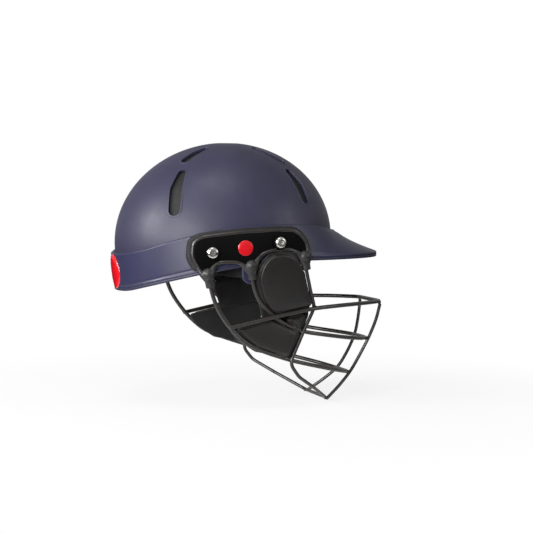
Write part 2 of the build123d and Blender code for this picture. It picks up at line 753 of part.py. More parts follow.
def make_gasket(block, shell):
    """Right gasket between the band's outer face and the side plate, notched for the boots."""
    face = offset(plate_region(), GASKET_MARGIN)
    for arch in arch_faces():
        face = face - offset(arch, GASKET_ARCH_MARGIN)
    prism = side_prism(face, DOME_HALF_WIDTH * 0.8, PLATE_OFFSET)
    step = FRAME_WIRE_RADIUS + RUNNING_CLEARANCE
    gasket = prism & plate_drum(-step)
    floor = Pos(-PLATE_OFFSET, 0, GASKET_BOTTOM - PLATE_HEIGHT) * Box(
        PLATE_OFFSET, PLATE_LENGTH * 2, PLATE_HEIGHT * 2
    )
    gasket = gasket - floor - block - shell
    for top, target in BOOT_PLACES:
        for step in (GUARD_RAISE, 0.0, -GUARD_LOWER / 2, -GUARD_LOWER):
            gasket -= Pos(0, 0, step) * boot_form(top, target, BOOT_NOTCH)
    for place in SCREW_PLACES:
        gasket -= screw_bore(place, TEE_NUT_BARREL_RADIUS + RUNNING_CLEARANCE, -PLATE_OFFSET / 3, 0)
    return largest(gasket)


def guard_point(share):
    """Right side point of the face guard from its shares."""
    return Vector(
        -share[0] * GUARD_HALF_WIDTH, -share[1] * GUARD_REACH, -share[2] * GUARD_DROP
    )


def guard_points(shares, first):
    """Right side points of a guard wire, starting at a boot if one is given."""
    points = [guard_point(share) for share in shares]
    if first is not None:
        points.insert(0, plate_place(first, 0.0))
    return points


def mirrored(points):
    """Points mirrored to the wearer's left, in the opposite order."""
    return [Vector(-point.X, point.Y, point.Z) for point in reversed(points)]


def across_bar(points, radius, nose):
    """Wire from the right side round the front to the left, with its nose bends named."""
    caps = [SMOOTH_BEND] * (len(points) - 2)
    return bent_wire(points + mirrored(points), radius, caps + [nose, nose] + caps)


def low_bar(grow):
    """Lowest bar, from boot to boot under the chin."""
    return across_bar(guard_points(LOW_BAR_SHARES, REAR_BOOT_TOP), BAR_RADIUS + grow, NOSE_BEND)


def middle_bar(grow):
    """Middle bar, from boot to boot in front of the mouth."""
    points = guard_points(MIDDLE_BAR_SHARES, MIDDLE_BOOT_TOP)
    return across_bar(points, BAR_RADIUS + grow, NOSE_BEND)


def top_bar(grow):
    """Top bar under the eyes, welded across the other wires."""
    return across_bar(guard_points(TOP_BAR_SHARES, None), BAR_RADIUS + grow, NOSE_BEND)


def front_wire(grow):
    """Wire down from the front boots and across the chin."""
    points = guard_points(FRONT_WIRE_SHARES, FRONT_BOOT_TOP)
    caps = [TIGHT_BEND] * (len(points) * 2 - 2)
    return bent_wire(points + mirrored(points), FRONT_WIRE_RADIUS + grow, caps)


def make_uprights():
    """Two upright wires in front of the bars."""
    points = guard_points(UPRIGHT_SHARES, None)
    return both_sides(bent_wire(points, UPRIGHT_RADIUS, [SMOOTH_BEND] * len(points)))


def boot_form(top, target, grow):
    """Bulb and tapered sleeve from a foot of the frame along a guard wire."""
    start = plate_place(top, 0.0)
    along = (guard_point(target) - start).normalized()
    bulb = Pos(start) * Sphere(BOOT_TOP_RADIUS + grow)
    plane = Plane(start, z_dir=along)
    sleeve = loft(
        [
            plane * Circle(BOOT_TOP_RADIUS + grow),
            plane.offset(BOOT_LENGTH + grow) * Circle(BOOT_END_RADIUS + grow),
        ]
    )
    return bulb + sleeve


BOOT_PLACES = (
    (REAR_BOOT_TOP, LOW_BAR_SHARES[0]),
    (MIDDLE_BOOT_TOP, MIDDLE_BAR_SHARES[0]),
    (FRONT_BOOT_TOP, FRONT_WIRE_SHARES[0]),
)


def make_boots(wires, frame, plate):
    """Three right boots, bored for their wires, clear of the band."""
    room = band_envelope(RUNNING_CLEARANCE * 2, LOBE_BOTTOM - BOOT_LENGTH, DOME_HEIGHT / 2)
    boots = Part()
    for top, target in BOOT_PLACES:
        boot = boot_form(top, target, 0.0) - room - frame - plate
        for wire in wires:
            boot -= wire
        boots += largest(boot)
    return boots


def plane_through(points):
    """Plane through three right side points, facing outwards."""
    first, second, third = [Vector(*point) for point in points]
    normal = (second - first).cross(third - first).normalized()
    if normal.X > 0:
        normal = normal * -1.0
    return Plane(first, x_dir=second - first, z_dir=normal)


def plane_outline(plane, corners, radius, inset):
    """Rounded outline on a pad's plane from side view corners, drawn in by inset."""
    local = []
    for y, z in corners:
        lean = plane.z_dir.Y * (y - plane.origin.Y) + plane.z_dir.Z * (z - plane.origin.Z)
        point = plane.to_local_coords(Vector(plane.origin.X - lean / plane.z_dir.X, y, z))
        local.append((point.X, point.Y))
    face = Face(Wire(FilletPolyline(local, radius=radius, close=True).edges()))
    if inset:
        face = offset(face, -inset)
    return face


def crowned_pad(plane, corners, reach):
    """Pad with a thin border that reaches past its corners, a rolled crown and a flat back."""
    outward = plane.z_dir
    border = plane.offset(-PAD_FLANGE / 2) * plane_outline(plane, corners, PAD_CORNER, -reach)
    raised = plane.offset(-PAD_BACK) * plane_outline(plane, corners, PAD_CORNER, PAD_BORDER)
    crown = extrude(raised, PAD_BACK + PAD_CROWN, dir=outward)
    top = crown.faces().sort_by(Axis(plane.origin, outward))[-1]
    crown = fillet(top.edges(), PAD_ROLL)
    return extrude(border, PAD_FLANGE, dir=outward) + crown


def make_cheek_pad(plane_points, corners, reach, tools):
    """Right cheek pad cut clear of the wires, boots and shell."""
    pad = crowned_pad(plane_through(plane_points), corners, reach)
    for tool in tools:
        pad -= tool
    return largest(pad)


def make_cheek_liner(plane_points, corners, tools):
    """Flat backing pad behind the right cheek pads, grooved for the wires that cross it."""
    plane = plane_through(plane_points)
    outward = plane.z_dir
    back = plane.offset(-PAD_BACK - LINER_THICKNESS) * plane_outline(
        plane, corners, PAD_CORNER, 0.0
    )
    slab = extrude(back, LINER_THICKNESS, dir=outward)
    inner = slab.faces().sort_by(Axis(plane.origin, outward))[0]
    liner = fillet(inner.edges(), LINER_ROLL)
    for tool in tools:
        liner -= tool
    return largest(liner)


def make_side_badge():
    """Round badge on the right side plate."""
    point = plate_place(SIDE_BADGE_PLACE, 0.0)
    tool = Plane(point, z_dir=(-1, 0, 0)) * Circle(SIDE_BADGE_RADIUS)
    layer = plate_drum(PLATE_FACE + SIDE_BADGE_THICKNESS) - plate_drum(PLATE_FACE)
    return extrude(tool, OVERRUN, both=True) & layer


def make_screw(place):
    """Dome headed socket screw, right side."""
    under = WASHER_SEAT + WASHER_FOOT_HEIGHT + WASHER_THICKNESS
    seat = tee_nut_seat(place)
    shank = screw_bore(place, SCREW_RADIUS, -seat, under)
    head = screw_bore(place, SCREW_HEAD_RADIUS, under, under + SCREW_HEAD_HEIGHT)
    rim = head.edges().filter_by(GeomType.CIRCLE).sort_by(Axis.X)[0]
    head = fillet(rim, SCREW_HEAD_HEIGHT * 0.8)
    top = screw_plane(place, under + SCREW_HEAD_HEIGHT - SCREW_SOCKET_DEPTH)
    socket = RegularPolygon(SCREW_SOCKET_WIDTH / 2, 6, major_radius=False)
    return shank + head - extrude(top * socket, OVERRUN)


def make_washer(place):
    """Washer under a screw head, right side: a wide rim on a narrow foot, clear of the wires."""
    rim = WASHER_SEAT + WASHER_FOOT_HEIGHT
    foot = screw_bore(place, WASHER_FOOT_RADIUS, WASHER_SEAT, rim)
    disc = screw_bore(place, WASHER_RADIUS, rim, rim + WASHER_THICKNESS)
    bore = screw_bore(place, SCREW_RADIUS + THREAD_CLEARANCE, 0, rim + OVERRUN)
    return foot + disc - bore


def make_tee_nut(place):
    """Tee nut on its boss inside the dome, its barrel through dome and band."""
    seat = tee_nut_seat(place)
    bore = Circle(SCREW_RADIUS + THREAD_CLEARANCE)
    flange = Circle(TEE_NUT_FLANGE_RADIUS - LINER_GAP) - bore
    barrel = Circle(TEE_NUT_BARREL_RADIUS - THREAD_CLEARANCE) - bore
    nut = extrude(screw_plane(place, -seat - TEE_NUT_FLANGE) * flange, TEE_NUT_FLANGE)
    return nut + extrude(screw_plane(place, -seat) * barrel, TEE_NUT_BARREL)


def strap_plane():
    """Plane of the put away strap: x to the wearer's left, y backwards and a little up."""
    lean = math.radians(STRAP_STOW_ANGLE)
    return Plane(
        (0.0, STRAP_PIVOT[0], STRAP_PIVOT[1]),
        x_dir=(1, 0, 0),
        z_dir=(0, -math.sin(lean), math.cos(lean)),
    )


def strap_route():
    """Middle line of the webbing in the strap's plane, right end to left end."""
    route = [Vector(-STRAP_EYE_X, -STRAP_WIDTH / 2)]
    route += [Vector(x - STRAP_EYE_X, y) for x, y in STRAP_ROUTE]
    return route + [Vector(-point.X, point.Y) for point in reversed(route)]


def strap_ribbon(grow):
    """Webbing along the whole route, thickened by grow on each side."""
    route = strap_route()
    bends = list(STRAP_BENDS) + [STRAP_BENDS[-1]] * 2 + list(reversed(STRAP_BENDS))
    path = FilletPolyline(route, radius=corner_radii(route, bends, False))
    half = STRAP_THICKNESS / 2 + grow
    face = trace(path, half * 2)
    return extrude(strap_plane() * face, STRAP_WIDTH / 2 + grow, both=True)


def strap_outline():
    """Side view of the webbing, with round ends about the rivet."""
    plane = strap_plane()
    length = DOME_HALF_LENGTH * 2
    run = Pos(0, length / 2) * Rectangle(STRAP_WIDTH, length)
    face = Plane(plane.origin, x_dir=plane.z_dir, z_dir=(-1, 0, 0)) * (
        Circle(STRAP_WIDTH / 2) + run - Circle(RIVET_RADIUS + RIVET_CLEARANCE)
    )
    return extrude(face, BAND_HALF_WIDTH, both=True)


def make_rivet():
    """Right anchor rivet, its shank through the lobe and the strap's eye."""
    pivot = strap_pivot_point()
    lobe_face = BAND_HALF_WIDTH - LOBE_INSET
    inner = STRAP_EYE_X - STRAP_THICKNESS / 2 - RUNNING_CLEARANCE
    plane = Plane((-inner, pivot.Y, pivot.Z), z_dir=(-1, 0, 0))
    shank = extrude(plane * Circle(RIVET_RADIUS), lobe_face - inner - LOBE_WALL / 2)
    head = extrude(plane * Circle(RIVET_HEAD_RADIUS), -RIVET_HEAD)
    return shank + head


def strap_room():
    """Room that the right cheek pads leave for the strap's end to swing."""
    far = STRAP_EYE_X + STRAP_THICKNESS / 2 + RUNNING_CLEARANCE * 3
    plane = Plane((-far, STRAP_PIVOT[0], STRAP_PIVOT[1]), z_dir=(1, 0, 0))
    return extrude(plane * Circle(STRAP_ROOM_RADIUS), far)


def guard_tools(wires, frame):
    """Grown copies of wires and boots that the cheek pads are cut clear of, and other rooms."""
    boots = [boot_form(top, target, BOOT_CLEARANCE) for top, target in BOOT_PLACES]
    low = LOBE_BOTTOM - GUARD_RAISE - RUNNING_CLEARANCE
    rim = -RIM_DROP_AT_FRONT - RIM_FALL_TO_REAR / 3 - GUARD_RAISE
    lobe_room = band_envelope(RUNNING_CLEARANCE - LOBE_INSET, low, DOME_HEIGHT / 2)
    band_room = band_envelope(RUNNING_CLEARANCE * 2, rim, DOME_HEIGHT / 2)
    return wires + [frame, lobe_room, band_room, strap_room()] + boots


def export_all(parts):
    """Write each node's STEP file."""
    os.makedirs("parts", exist_ok=True)
    for name, part in parts.items():
        export_step(part, "parts/" + name + ".step")


def add_pair(parts, name, part):
    """Add the right piece and its mirror image on the left."""
    parts[name + "_right"] = part
    parts[name + "_left"] = mirror(part, Plane.YZ)


def shell_parts(parts):
    """Shells, trims, badges, gaskets and what they hold."""
    bores = make_shell_bores()
    lower = make_lower_shell(bores)
    gap = lobe_gap()
    block = ring_loft(block_section, 45, 135)
    right_block = mirror(block, Plane.YZ)
    parts["dome_shell"] = make_dome(bores)
    parts["crown_disc"] = make_crown_disc()
    parts["lower_shell"] = lower
    parts["peak_trim"] = largest(ring_loft(trim_section, -90, 90) - gap)
    parts["rear_trim"] = largest(ring_loft(trim_section, 90, 270) - gap)
    parts["rear_badge"] = make_rear_badge(lower, parts["rear_trim"])
    parts["vent_mesh"] = make_mesh()
    parts["foam_liner"] = make_foam()
    parts["front_sweatband"] = make_front_sweatband()
    parts["rear_comfort_pad"] = make_rear_pad()
    parts["crown_pad"] = make_crown_pad()
    add_pair(parts, "side_comfort_pad", make_side_pad())
    add_pair(parts, "gasket", make_gasket(right_block, lower))
    nuts = Part()
    washers = Part()
    for place in SCREW_PLACES:
        nuts += make_tee_nut(place)
        washers += make_washer(place)
    parts["tee_nuts"] = both_sides(nuts)
    parts["plate_washers"] = both_sides(washers)
    for name, place in zip(("rear", "front"), SCREW_PLACES):
        add_pair(parts, name + "_plate_screw", make_screw(place))
    parts["strap_rivets"] = both_sides(make_rivet())


def guard_parts(parts):
    """Side plates, frame, boots, wires and cheek pads."""
    frame = make_frame(0.0)
    frames = both_sides(frame)
    wires = [largest(wire(0.0) - frames) for wire in (low_bar, middle_bar, front_wire)]
    plate = make_plate(frame, wires)
    add_pair(parts, "side_plate", plate)
    add_pair(parts, "side_frame", frame)
    add_pair(parts, "boots", make_boots(wires, frame, plate))
    add_pair(parts, "side_badge", make_side_badge())
    parts["low_bar"] = wires[0]
    parts["middle_bar"] = wires[1]
    parts["front_wire"] = wires[2]
    parts["top_bar"] = top_bar(0.0)
    parts["uprights"] = make_uprights()
    grown = [wire(RUNNING_CLEARANCE) for wire in (low_bar, middle_bar, front_wire, top_bar)]
    tools = guard_tools(grown, make_frame(RUNNING_CLEARANCE)) + [plate]
    pads = (
        ("upper_cheek_pad", UPPER_PAD_PLANE, UPPER_PAD_CORNERS, UPPER_PAD_REACH),
        ("front_cheek_pad", LOWER_PAD_PLANE, FRONT_PAD_CORNERS, LOWER_PAD_REACH),
        ("lower_cheek_pad", LOWER_PAD_PLANE, LOWER_PAD_CORNERS, LOWER_PAD_REACH),
    )
    for name, plane_points, corners, reach in pads:
        add_pair(parts, name, make_cheek_pad(plane_points, corners, reach, tools))
    liners = (
        ("upper_cheek_liner", UPPER_PAD_PLANE, UPPER_LINER_CORNERS),
        ("lower_cheek_liner", LOWER_PAD_PLANE, LOWER_LINER_CORNERS),
    )
    for name, plane_points, corners in liners:
        add_pair(parts, name, make_cheek_liner(plane_points, corners, tools))


def strap_block(point, along, length, thickness, width):
    """Block centred on a point of the strap's route, its length along the webbing."""
    turn = math.degrees(math.atan2(along[1], along[0]))
    return Pos(point[0], point[1]) * Rot(Z=turn) * Box(length, thickness, width)


def place_on_run(share, side):
    """Point and direction on the webbing's straight run, on the right (-1) or left (1)."""
    route = strap_route()
    point = route[3] + (route[4] - route[3]) * share
    along = unit((route[4].X - route[3].X, route[4].Y - route[3].Y))
    return (-side * point.X, point.Y), (-side * along[0], along[1])


def strap_parts(parts):
    """Chin strap with its buckle, slider and cup, split at the buckle."""
    plane = strap_plane()
    webbing = strap_ribbon(0.0) & strap_outline()
    room = strap_ribbon(THREAD_CLEARANCE)
    point, along = place_on_run(BUCKLE_SHARE, -1)
    whole = plane * strap_block(point, along, BUCKLE_LENGTH, BUCKLE_THICKNESS, BUCKLE_WIDTH)
    inside = BUCKLE_LENGTH - BUCKLE_PLUG_LENGTH
    break_block = plane * strap_block(point, along, inside, BUCKLE_THICKNESS, BUCKLE_WIDTH)
    pieces = (webbing - break_block).solids().sort_by(SortBy.VOLUME)
    parts["chin_strap_short"] = pieces[-2]
    parts["chin_strap_long"] = pieces[-1]
    shift = (BUCKLE_LENGTH - BUCKLE_PLUG_LENGTH) / 2
    plug_point = (point[0] + along[0] * shift, point[1] + along[1] * shift)
    plug = plane * strap_block(
        plug_point, along, BUCKLE_PLUG_LENGTH, BUCKLE_THICKNESS / 2, BUCKLE_WIDTH * 0.8
    )
    parts["buckle_socket"] = largest(whole - plug - room)
    parts["buckle_plug"] = largest(plug - room)
    point, along = place_on_run(BUCKLE_SHARE, 1)
    slider = strap_block(point, along, SLIDER_LENGTH, SLIDER_THICKNESS, BUCKLE_WIDTH)
    parts["strap_slider"] = largest(plane * slider - room)
    back = strap_route()[-1 - len(STRAP_ROUTE)].Y
    cup = strap_block(
        (0.0, back - CHIN_CUP_THICKNESS / 2), (1.0, 0.0), CHIN_CUP_LENGTH, CHIN_CUP_THICKNESS,
        CHIN_CUP_WIDTH,
    )
    parts["chin_cup"] = largest(plane * cup - room)


def main():
    """Build every node and write it."""
    parts = {}
    shell_parts(parts)
    guard_parts(parts)
    strap_parts(parts)
    export_all(parts)


if __name__ == "__main__":
    main()
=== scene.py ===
"""Looks of a cricket helmet with a steel face guard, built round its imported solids.

Shapes are worked out in millimetres with numpy and put into meshes in metres.
Top is +Z, the face looks to -Y, the wearer's left is +X. Pieces of one side are made on the
wearer's right, at -X, and mirrored.
"""

import logging
import math
from collections.abc import Callable
from dataclasses import dataclass
from enum import Enum

import bmesh
import bpy
import numpy as np
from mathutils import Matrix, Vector


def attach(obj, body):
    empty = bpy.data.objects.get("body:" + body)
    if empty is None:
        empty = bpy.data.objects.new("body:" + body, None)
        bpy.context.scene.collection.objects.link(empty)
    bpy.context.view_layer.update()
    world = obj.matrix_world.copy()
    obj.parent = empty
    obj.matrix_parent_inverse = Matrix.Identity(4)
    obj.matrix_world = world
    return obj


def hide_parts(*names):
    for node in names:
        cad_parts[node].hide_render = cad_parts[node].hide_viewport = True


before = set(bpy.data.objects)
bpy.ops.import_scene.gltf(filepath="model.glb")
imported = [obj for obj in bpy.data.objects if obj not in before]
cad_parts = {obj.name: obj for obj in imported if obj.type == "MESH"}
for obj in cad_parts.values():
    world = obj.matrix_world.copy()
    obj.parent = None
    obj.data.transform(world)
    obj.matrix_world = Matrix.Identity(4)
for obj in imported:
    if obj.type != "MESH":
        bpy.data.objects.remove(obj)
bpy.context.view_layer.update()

MM = 0.001
# Bands of a wave texture of scale one are 2 pi / 20 apart
WAVE_PERIOD = 0.314
Array = np.ndarray
log = logging.getLogger("helmet")


# Finishes


class Pattern(Enum):
    """What the fine structure of a surface looks like."""

    GRAIN = "moulded grain"
    WEAVE = "plain weave"
    WEBBING = "webbing ribs along the piece's own length"
    MESH = "open mesh"
    BEADS = "foam beads"
    PILE = "towelling pile"
    SMOOTH = "almost smooth"


@dataclass(frozen=True)
class Finish:
    """What a surface is made of and how it takes the light. Sizes are in millimetres."""

    name: str
    colour: str
    # Darker colour: for random patches, and as painted shade in the low parts of a pattern that has them
    shade: str
    roughness: float
    pattern: Pattern = Pattern.GRAIN
    grain: float = 0.8
    relief: float = 0.02
    patch: float = 30.0
    spread: float = 0.08
    metallic: float = 0.0
    coat: float = 0.0
    coat_roughness: float = 0.1
    sheen: float = 0.0
    ior: float = 1.5


# Moulded ABS with a fine matt texture: dark slate navy, with a broad soft highlight
DOME_ABS = Finish("moulded_abs_slate", "#312F46", "#2B2940", 0.48, grain=1.1, relief=0.085, spread=0.05)
# The same plastic in a bluer navy and a little smoother
BAND_ABS = Finish("moulded_abs_navy", "#2B2B48", "#262641", 0.4, grain=1.1, relief=0.06, spread=0.05)
# Extruded vinyl edging: the navy of the band
EDGE_TRIM = Finish("extruded_vinyl_edging", "#2B2B46", "#25253D", 0.42, grain=0.9)
# Acetal disc let into the crown
CROWN_ACETAL = Finish("acetal_crown_disc", "#2A2938", "#242330", 0.4, grain=0.6, relief=0.01)
# Polycarbonate side plate, polished: black with sharp reflections
GLOSS_PLATE = Finish(
    "polished_polycarbonate_black", "#0B0B0C", "#080809", 0.12, Pattern.SMOOTH, relief=0.004,
    grain=6.0, spread=0.03, ior=1.42,
)
# Moulded nitrile rubber of the boots: satin, charcoal
BOOT_RUBBER = Finish("moulded_rubber_satin", "#2C2B2B", "#252424", 0.46, grain=1.0, relief=0.015)
# Closed cell rubber of the gasket: dull black
GASKET_RUBBER = Finish("cellular_rubber_black", "#1D1D20", "#17171A", 0.72, grain=0.7, relief=0.05)
# Steel wire, powder coated: satin brown black, with the coat's slight orange peel
WIRE_STEEL = Finish(
    "powder_coated_steel", "#2B2624", "#231F1D", 0.3, Pattern.SMOOTH, grain=3.0, relief=0.004,
    patch=14.0, spread=0.05, coat=0.35, coat_roughness=0.2,
)
# Heat formed EVA foam with a knitted face: charcoal, with sheen on its rolled edges
PAD_SKIN = Finish(
    "heat_formed_eva_skin", "#1D1A19", "#171514", 0.42, Pattern.WEAVE, grain=0.9, relief=0.03,
    sheen=0.12, patch=18.0, spread=0.05,
)
# Brushed knit against the skin: deep black pile; its darker colour goes into random patches and, as painted
# shade, into the low parts of the pile
TOWELLING = Finish(
    "brushed_knit_black", "#121214", "#0C0C0E", 0.92, Pattern.PILE, grain=0.9, relief=0.25,
    sheen=0.15,
)
# Expanded polystyrene, dyed: the beads show as small cells, with painted shade in the darker colour along
# the edges between them
BEAD_FOAM = Finish("dyed_bead_foam", "#18181A", "#0E0E10", 0.85, Pattern.BEADS, grain=3.2, relief=0.25)
# Warp knitted polyester mesh behind the vents; its near black darker colour goes into random patches and,
# as painted shade, into the holes
VENT_MESH = Finish("knitted_vent_mesh", "#181716", "#050506", 0.7, Pattern.MESH, grain=2.1, relief=0.3)
# Nickel plated steel, polished then handled
NICKEL = Finish(
    "nickel_plated_steel", "#E3E1DD", "#D2D0CB", 0.24, Pattern.SMOOTH, grain=2.0, relief=0.004,
    metallic=1.0,
)
# Black nickel on the cup washers
BLACK_NICKEL = Finish(
    "black_nickel_steel", "#2B2A2B", "#232223", 0.18, Pattern.SMOOTH, grain=2.0, relief=0.004,
    metallic=0.9,
)
# Zinc plated steel: greyer and duller
ZINC = Finish("zinc_plated_steel", "#A7A8A6", "#8C8D8A", 0.38, metallic=1.0, relief=0.01)
# Epoxy domed badge: clear gloss over red
BADGE_RED = Finish(
    "domed_epoxy_red", "#DD1722", "#C9121D", 0.22, Pattern.SMOOTH, coat=0.6,
    coat_roughness=0.08, relief=0.003, grain=5.0, spread=0.03,
)
# Polyester webbing: ribs across a flat black band, with painted shade in the darker colour between the ribs
WEBBING = Finish(
    "polyester_webbing", "#151517", "#0E0E10", 0.8, Pattern.WEBBING, grain=1.4, relief=0.2,
    sheen=0.2,
)
# Acetal buckle
BUCKLE_ACETAL = Finish("acetal_buckle_black", "#1C1C1F", "#161618", 0.36, grain=0.7, relief=0.01)


def linear(hex_colour: str) -> tuple[float, float, float, float]:
    """Turn an sRGB hex colour to linear.

    Args:
        hex_colour: "#RRGGBB".

    Returns:
        Red, green, blue and an alpha of one.
    """
    parts = [int(hex_colour[i : i + 2], 16) / 255 for i in (1, 3, 5)]
    lin = [c / 12.92 if c <= 0.04045 else ((c + 0.055) / 1.055) ** 2.4 for c in parts]
    return lin[0], lin[1], lin[2], 1.0


def add_node(
    tree: bpy.types.NodeTree, kind: str, settings: dict | None = None, inputs: dict | None = None
) -> bpy.types.Node:
    """Add a node, set its properties, and set or link its inputs.

    Args:
        tree: Node tree of the material or the world.
        kind: Blender's name of the node type.
        settings: Properties of the node.
        inputs: Values of its inputs, or the outputs that link to them.

    Returns:
        The new node.
    """
    node = tree.nodes.new(kind)
    for key, value in (settings or {}).items():
        setattr(node, key, value)
    for key, value in (inputs or {}).items():
        if isinstance(value, bpy.types.NodeSocket):
            tree.links.new(value, node.inputs[key])
        else:
            node.inputs[key].default_value = value
    return node


def ranged(
    tree: bpy.types.NodeTree, value: object, low: float = 0.0, high: float = 1.0,
    to_low: float = 0.0, to_high: float = 1.0,
) -> object:
    """Output that maps a value from one range to another."""
    limits = {"From Min": low, "From Max": high, "To Min": to_low, "To Max": to_high}
    return add_node(tree, "ShaderNodeMapRange", {}, {"Value": value, **limits}).outputs["Result"]


def reckoned(tree: bpy.types.NodeTree, operation: str, *terms: object) -> object:
    """Output of a sum of the given kind over its terms."""
    node = add_node(tree, "ShaderNodeMath", {"operation": operation}, dict(enumerate(terms)))
    return node.outputs[0]


class Paint:
    """Builds each finish's material once."""

    def __init__(self) -> None:
        """Start with no materials."""
        self.made: dict[str, bpy.types.Material] = {}

    def of(self, finish: Finish) -> bpy.types.Material:
        """Give the material of a finish.

        Args:
            finish: The finish.

        Returns:
            Its material.
        """
        if finish.name not in self.made:
            self.made[finish.name] = self.build(finish)
        return self.made[finish.name]

    def build(self, finish: Finish) -> bpy.types.Material:
        """Build the material: colour in soft patches, uneven roughness, the pattern's relief, and painted
        shade in the relief's low parts where the pattern gives one.

        Args:
            finish: The finish.

        Returns:
            The new material.
        """
        material = bpy.data.materials.new(finish.name)
        material.use_nodes = True
        tree = material.node_tree
        tree.nodes.clear()
        place = add_node(tree, "ShaderNodeTexCoord").outputs["Object"]
        patches = add_node(
            tree, "ShaderNodeTexNoise", {},
            {"Vector": place, "Scale": 1 / (finish.patch * MM), "Detail": 4.0, "Roughness": 0.6},
        ).outputs["Fac"]
        height, painted_shade = self.structure(tree, finish, place)
        shade = ranged(tree, patches, 0.35, 0.65)
        colour = self.mix(tree, shade, linear(finish.colour), linear(finish.shade))
        # Painted shade: the pattern's low parts take the darker colour
        if painted_shade is not None:
            colour = self.mix(tree, painted_shade, colour, linear(finish.shade))
        least, most = finish.roughness - finish.spread, finish.roughness + finish.spread
        rough = ranged(tree, patches, 0.3, 0.7, least, most)
        bump = add_node(
            tree, "ShaderNodeBump", {},
            {"Strength": 0.8, "Distance": finish.relief * MM, "Height": height},
        ).outputs["Normal"]
        shader = add_node(
            tree, "ShaderNodeBsdfPrincipled", {},
            {
                "Base Color": colour, "Roughness": rough, "Metallic": finish.metallic,
                "IOR": finish.ior, "Coat Weight": finish.coat,
                "Coat Roughness": finish.coat_roughness, "Sheen Weight": finish.sheen,
                "Sheen Roughness": 0.4, "Normal": bump,
            },
        )
        add_node(tree, "ShaderNodeOutputMaterial", {}, {"Surface": shader.outputs["BSDF"]})
        return material

    @staticmethod
    def mix(tree: bpy.types.NodeTree, share: object, first: object, second: object) -> object:
        """Mix two colours.

        Args:
            tree: Node tree.
            share: Share of the second colour, an output.
            first: First colour or output.
            second: Second colour or output.

        Returns:
            The colour output.
        """
        node = add_node(tree, "ShaderNodeMix", {"data_type": "RGBA"}, {0: share, 6: first, 7: second})
        return node.outputs[2]

    @staticmethod
    def ribs(tree: bpy.types.NodeTree, place: object, spacing: float, axis: str) -> object:
        """Sine ribs across one axis.

        Args:
            tree: Node tree.
            place: Vector output.
            spacing: Distance between ribs in the vector's own unit.
            axis: "X", "Y" or "Z".

        Returns:
            Height output from 0 to 1.
        """
        return add_node(
            tree, "ShaderNodeTexWave",
            {"wave_type": "BANDS", "bands_direction": axis, "wave_profile": "SIN"},
            {"Vector": place, "Scale": WAVE_PERIOD / spacing, "Distortion": 0.0},
        ).outputs["Fac"]

    def structure(
        self, tree: bpy.types.NodeTree, finish: Finish, place: object
    ) -> tuple[object, object | None]:
        """Fine structure of a finish.

        Args:
            tree: Node tree.
            finish: The finish.
            place: Object coordinates.

        Returns:
            Height output, and the share of painted shade in its low parts, or None.
        """
        size = finish.grain * MM
        fine = add_node(
            tree, "ShaderNodeTexNoise", {},
            {"Vector": place, "Scale": 1 / size, "Detail": 3.0, "Roughness": 0.55},
        ).outputs["Fac"]
        if finish.pattern in (Pattern.GRAIN, Pattern.SMOOTH):
            return fine, None
        if finish.pattern is Pattern.PILE:
            cells = add_node(
                tree, "ShaderNodeTexVoronoi", {"feature": "SMOOTH_F1"},
                {"Vector": place, "Scale": 1 / size, "Randomness": 1.0},
            ).outputs["Distance"]
            # Painted shade, deepest where the pile is lowest
            low = ranged(tree, cells, 0.2, 0.7)
            return reckoned(tree, "SUBTRACT", fine, cells), low
        if finish.pattern is Pattern.BEADS:
            cells = add_node(
                tree, "ShaderNodeTexVoronoi", {"feature": "DISTANCE_TO_EDGE"},
                {"Vector": place, "Scale": 1 / size, "Randomness": 0.8},
            ).outputs["Distance"]
            high = ranged(tree, cells, 0.0, 0.12)
            # Painted shade along the edges between the beads
            return high, reckoned(tree, "SUBTRACT", 1.0, high)
        if finish.pattern is Pattern.WEBBING:
            uv = add_node(tree, "ShaderNodeTexCoord").outputs["UV"]
            along = self.ribs(tree, uv, finish.grain * MM, "Y")
            across = self.ribs(tree, uv, finish.grain * MM * 1.6, "X")
            height = reckoned(tree, "MULTIPLY", along, across)
            # Painted shade in the low parts between the ribs
            return height, ranged(tree, height, 0.0, 1.0, 0.7, 0.0)
        first = self.ribs(tree, place, size, "Y")
        second = self.ribs(tree, place, size, "Z")
        if finish.pattern is Pattern.MESH:
            yarn = reckoned(tree, "MAXIMUM", first, second)
            # Painted shade in the holes between the yarns
            return yarn, ranged(tree, yarn, 0.5, 0.75, 1.0, 0.0)
        cross = reckoned(tree, "MULTIPLY", first, second)
        return reckoned(tree, "MULTIPLY_ADD", cross, 0.6, fine), None


PAINT = Paint()


# Surfaces


def add_object(name: str, data: bpy.types.ID) -> bpy.types.Object:
    """Make an object of a mesh, a lamp or a camera and put it in the scene."""
    made = bpy.data.objects.new(name, data)
    bpy.context.scene.collection.objects.link(made)
    return made


def coordinates(mesh: bpy.types.Mesh) -> Array:
    """Vertices of a mesh in metres, a row to a vertex."""
    flat = np.empty(len(mesh.vertices) * 3)
    mesh.vertices.foreach_get("co", flat)
    return flat.reshape(-1, 3)


def mirror_copy(piece: bpy.types.Object, name: str) -> bpy.types.Object:
    """Copy of a piece mirrored in X, its faces turned outwards again."""
    mesh = piece.data.copy()
    points = coordinates(mesh) * np.array([-1.0, 1.0, 1.0])
    mesh.vertices.foreach_set("co", points.ravel())
    mesh.flip_normals()
    mesh.update()
    return add_object(name, mesh)


def whole_turn(count: int) -> Array:
    """Angles of a whole turn in even steps, the end left out."""
    return np.linspace(0, 2 * math.pi, count, endpoint=False)


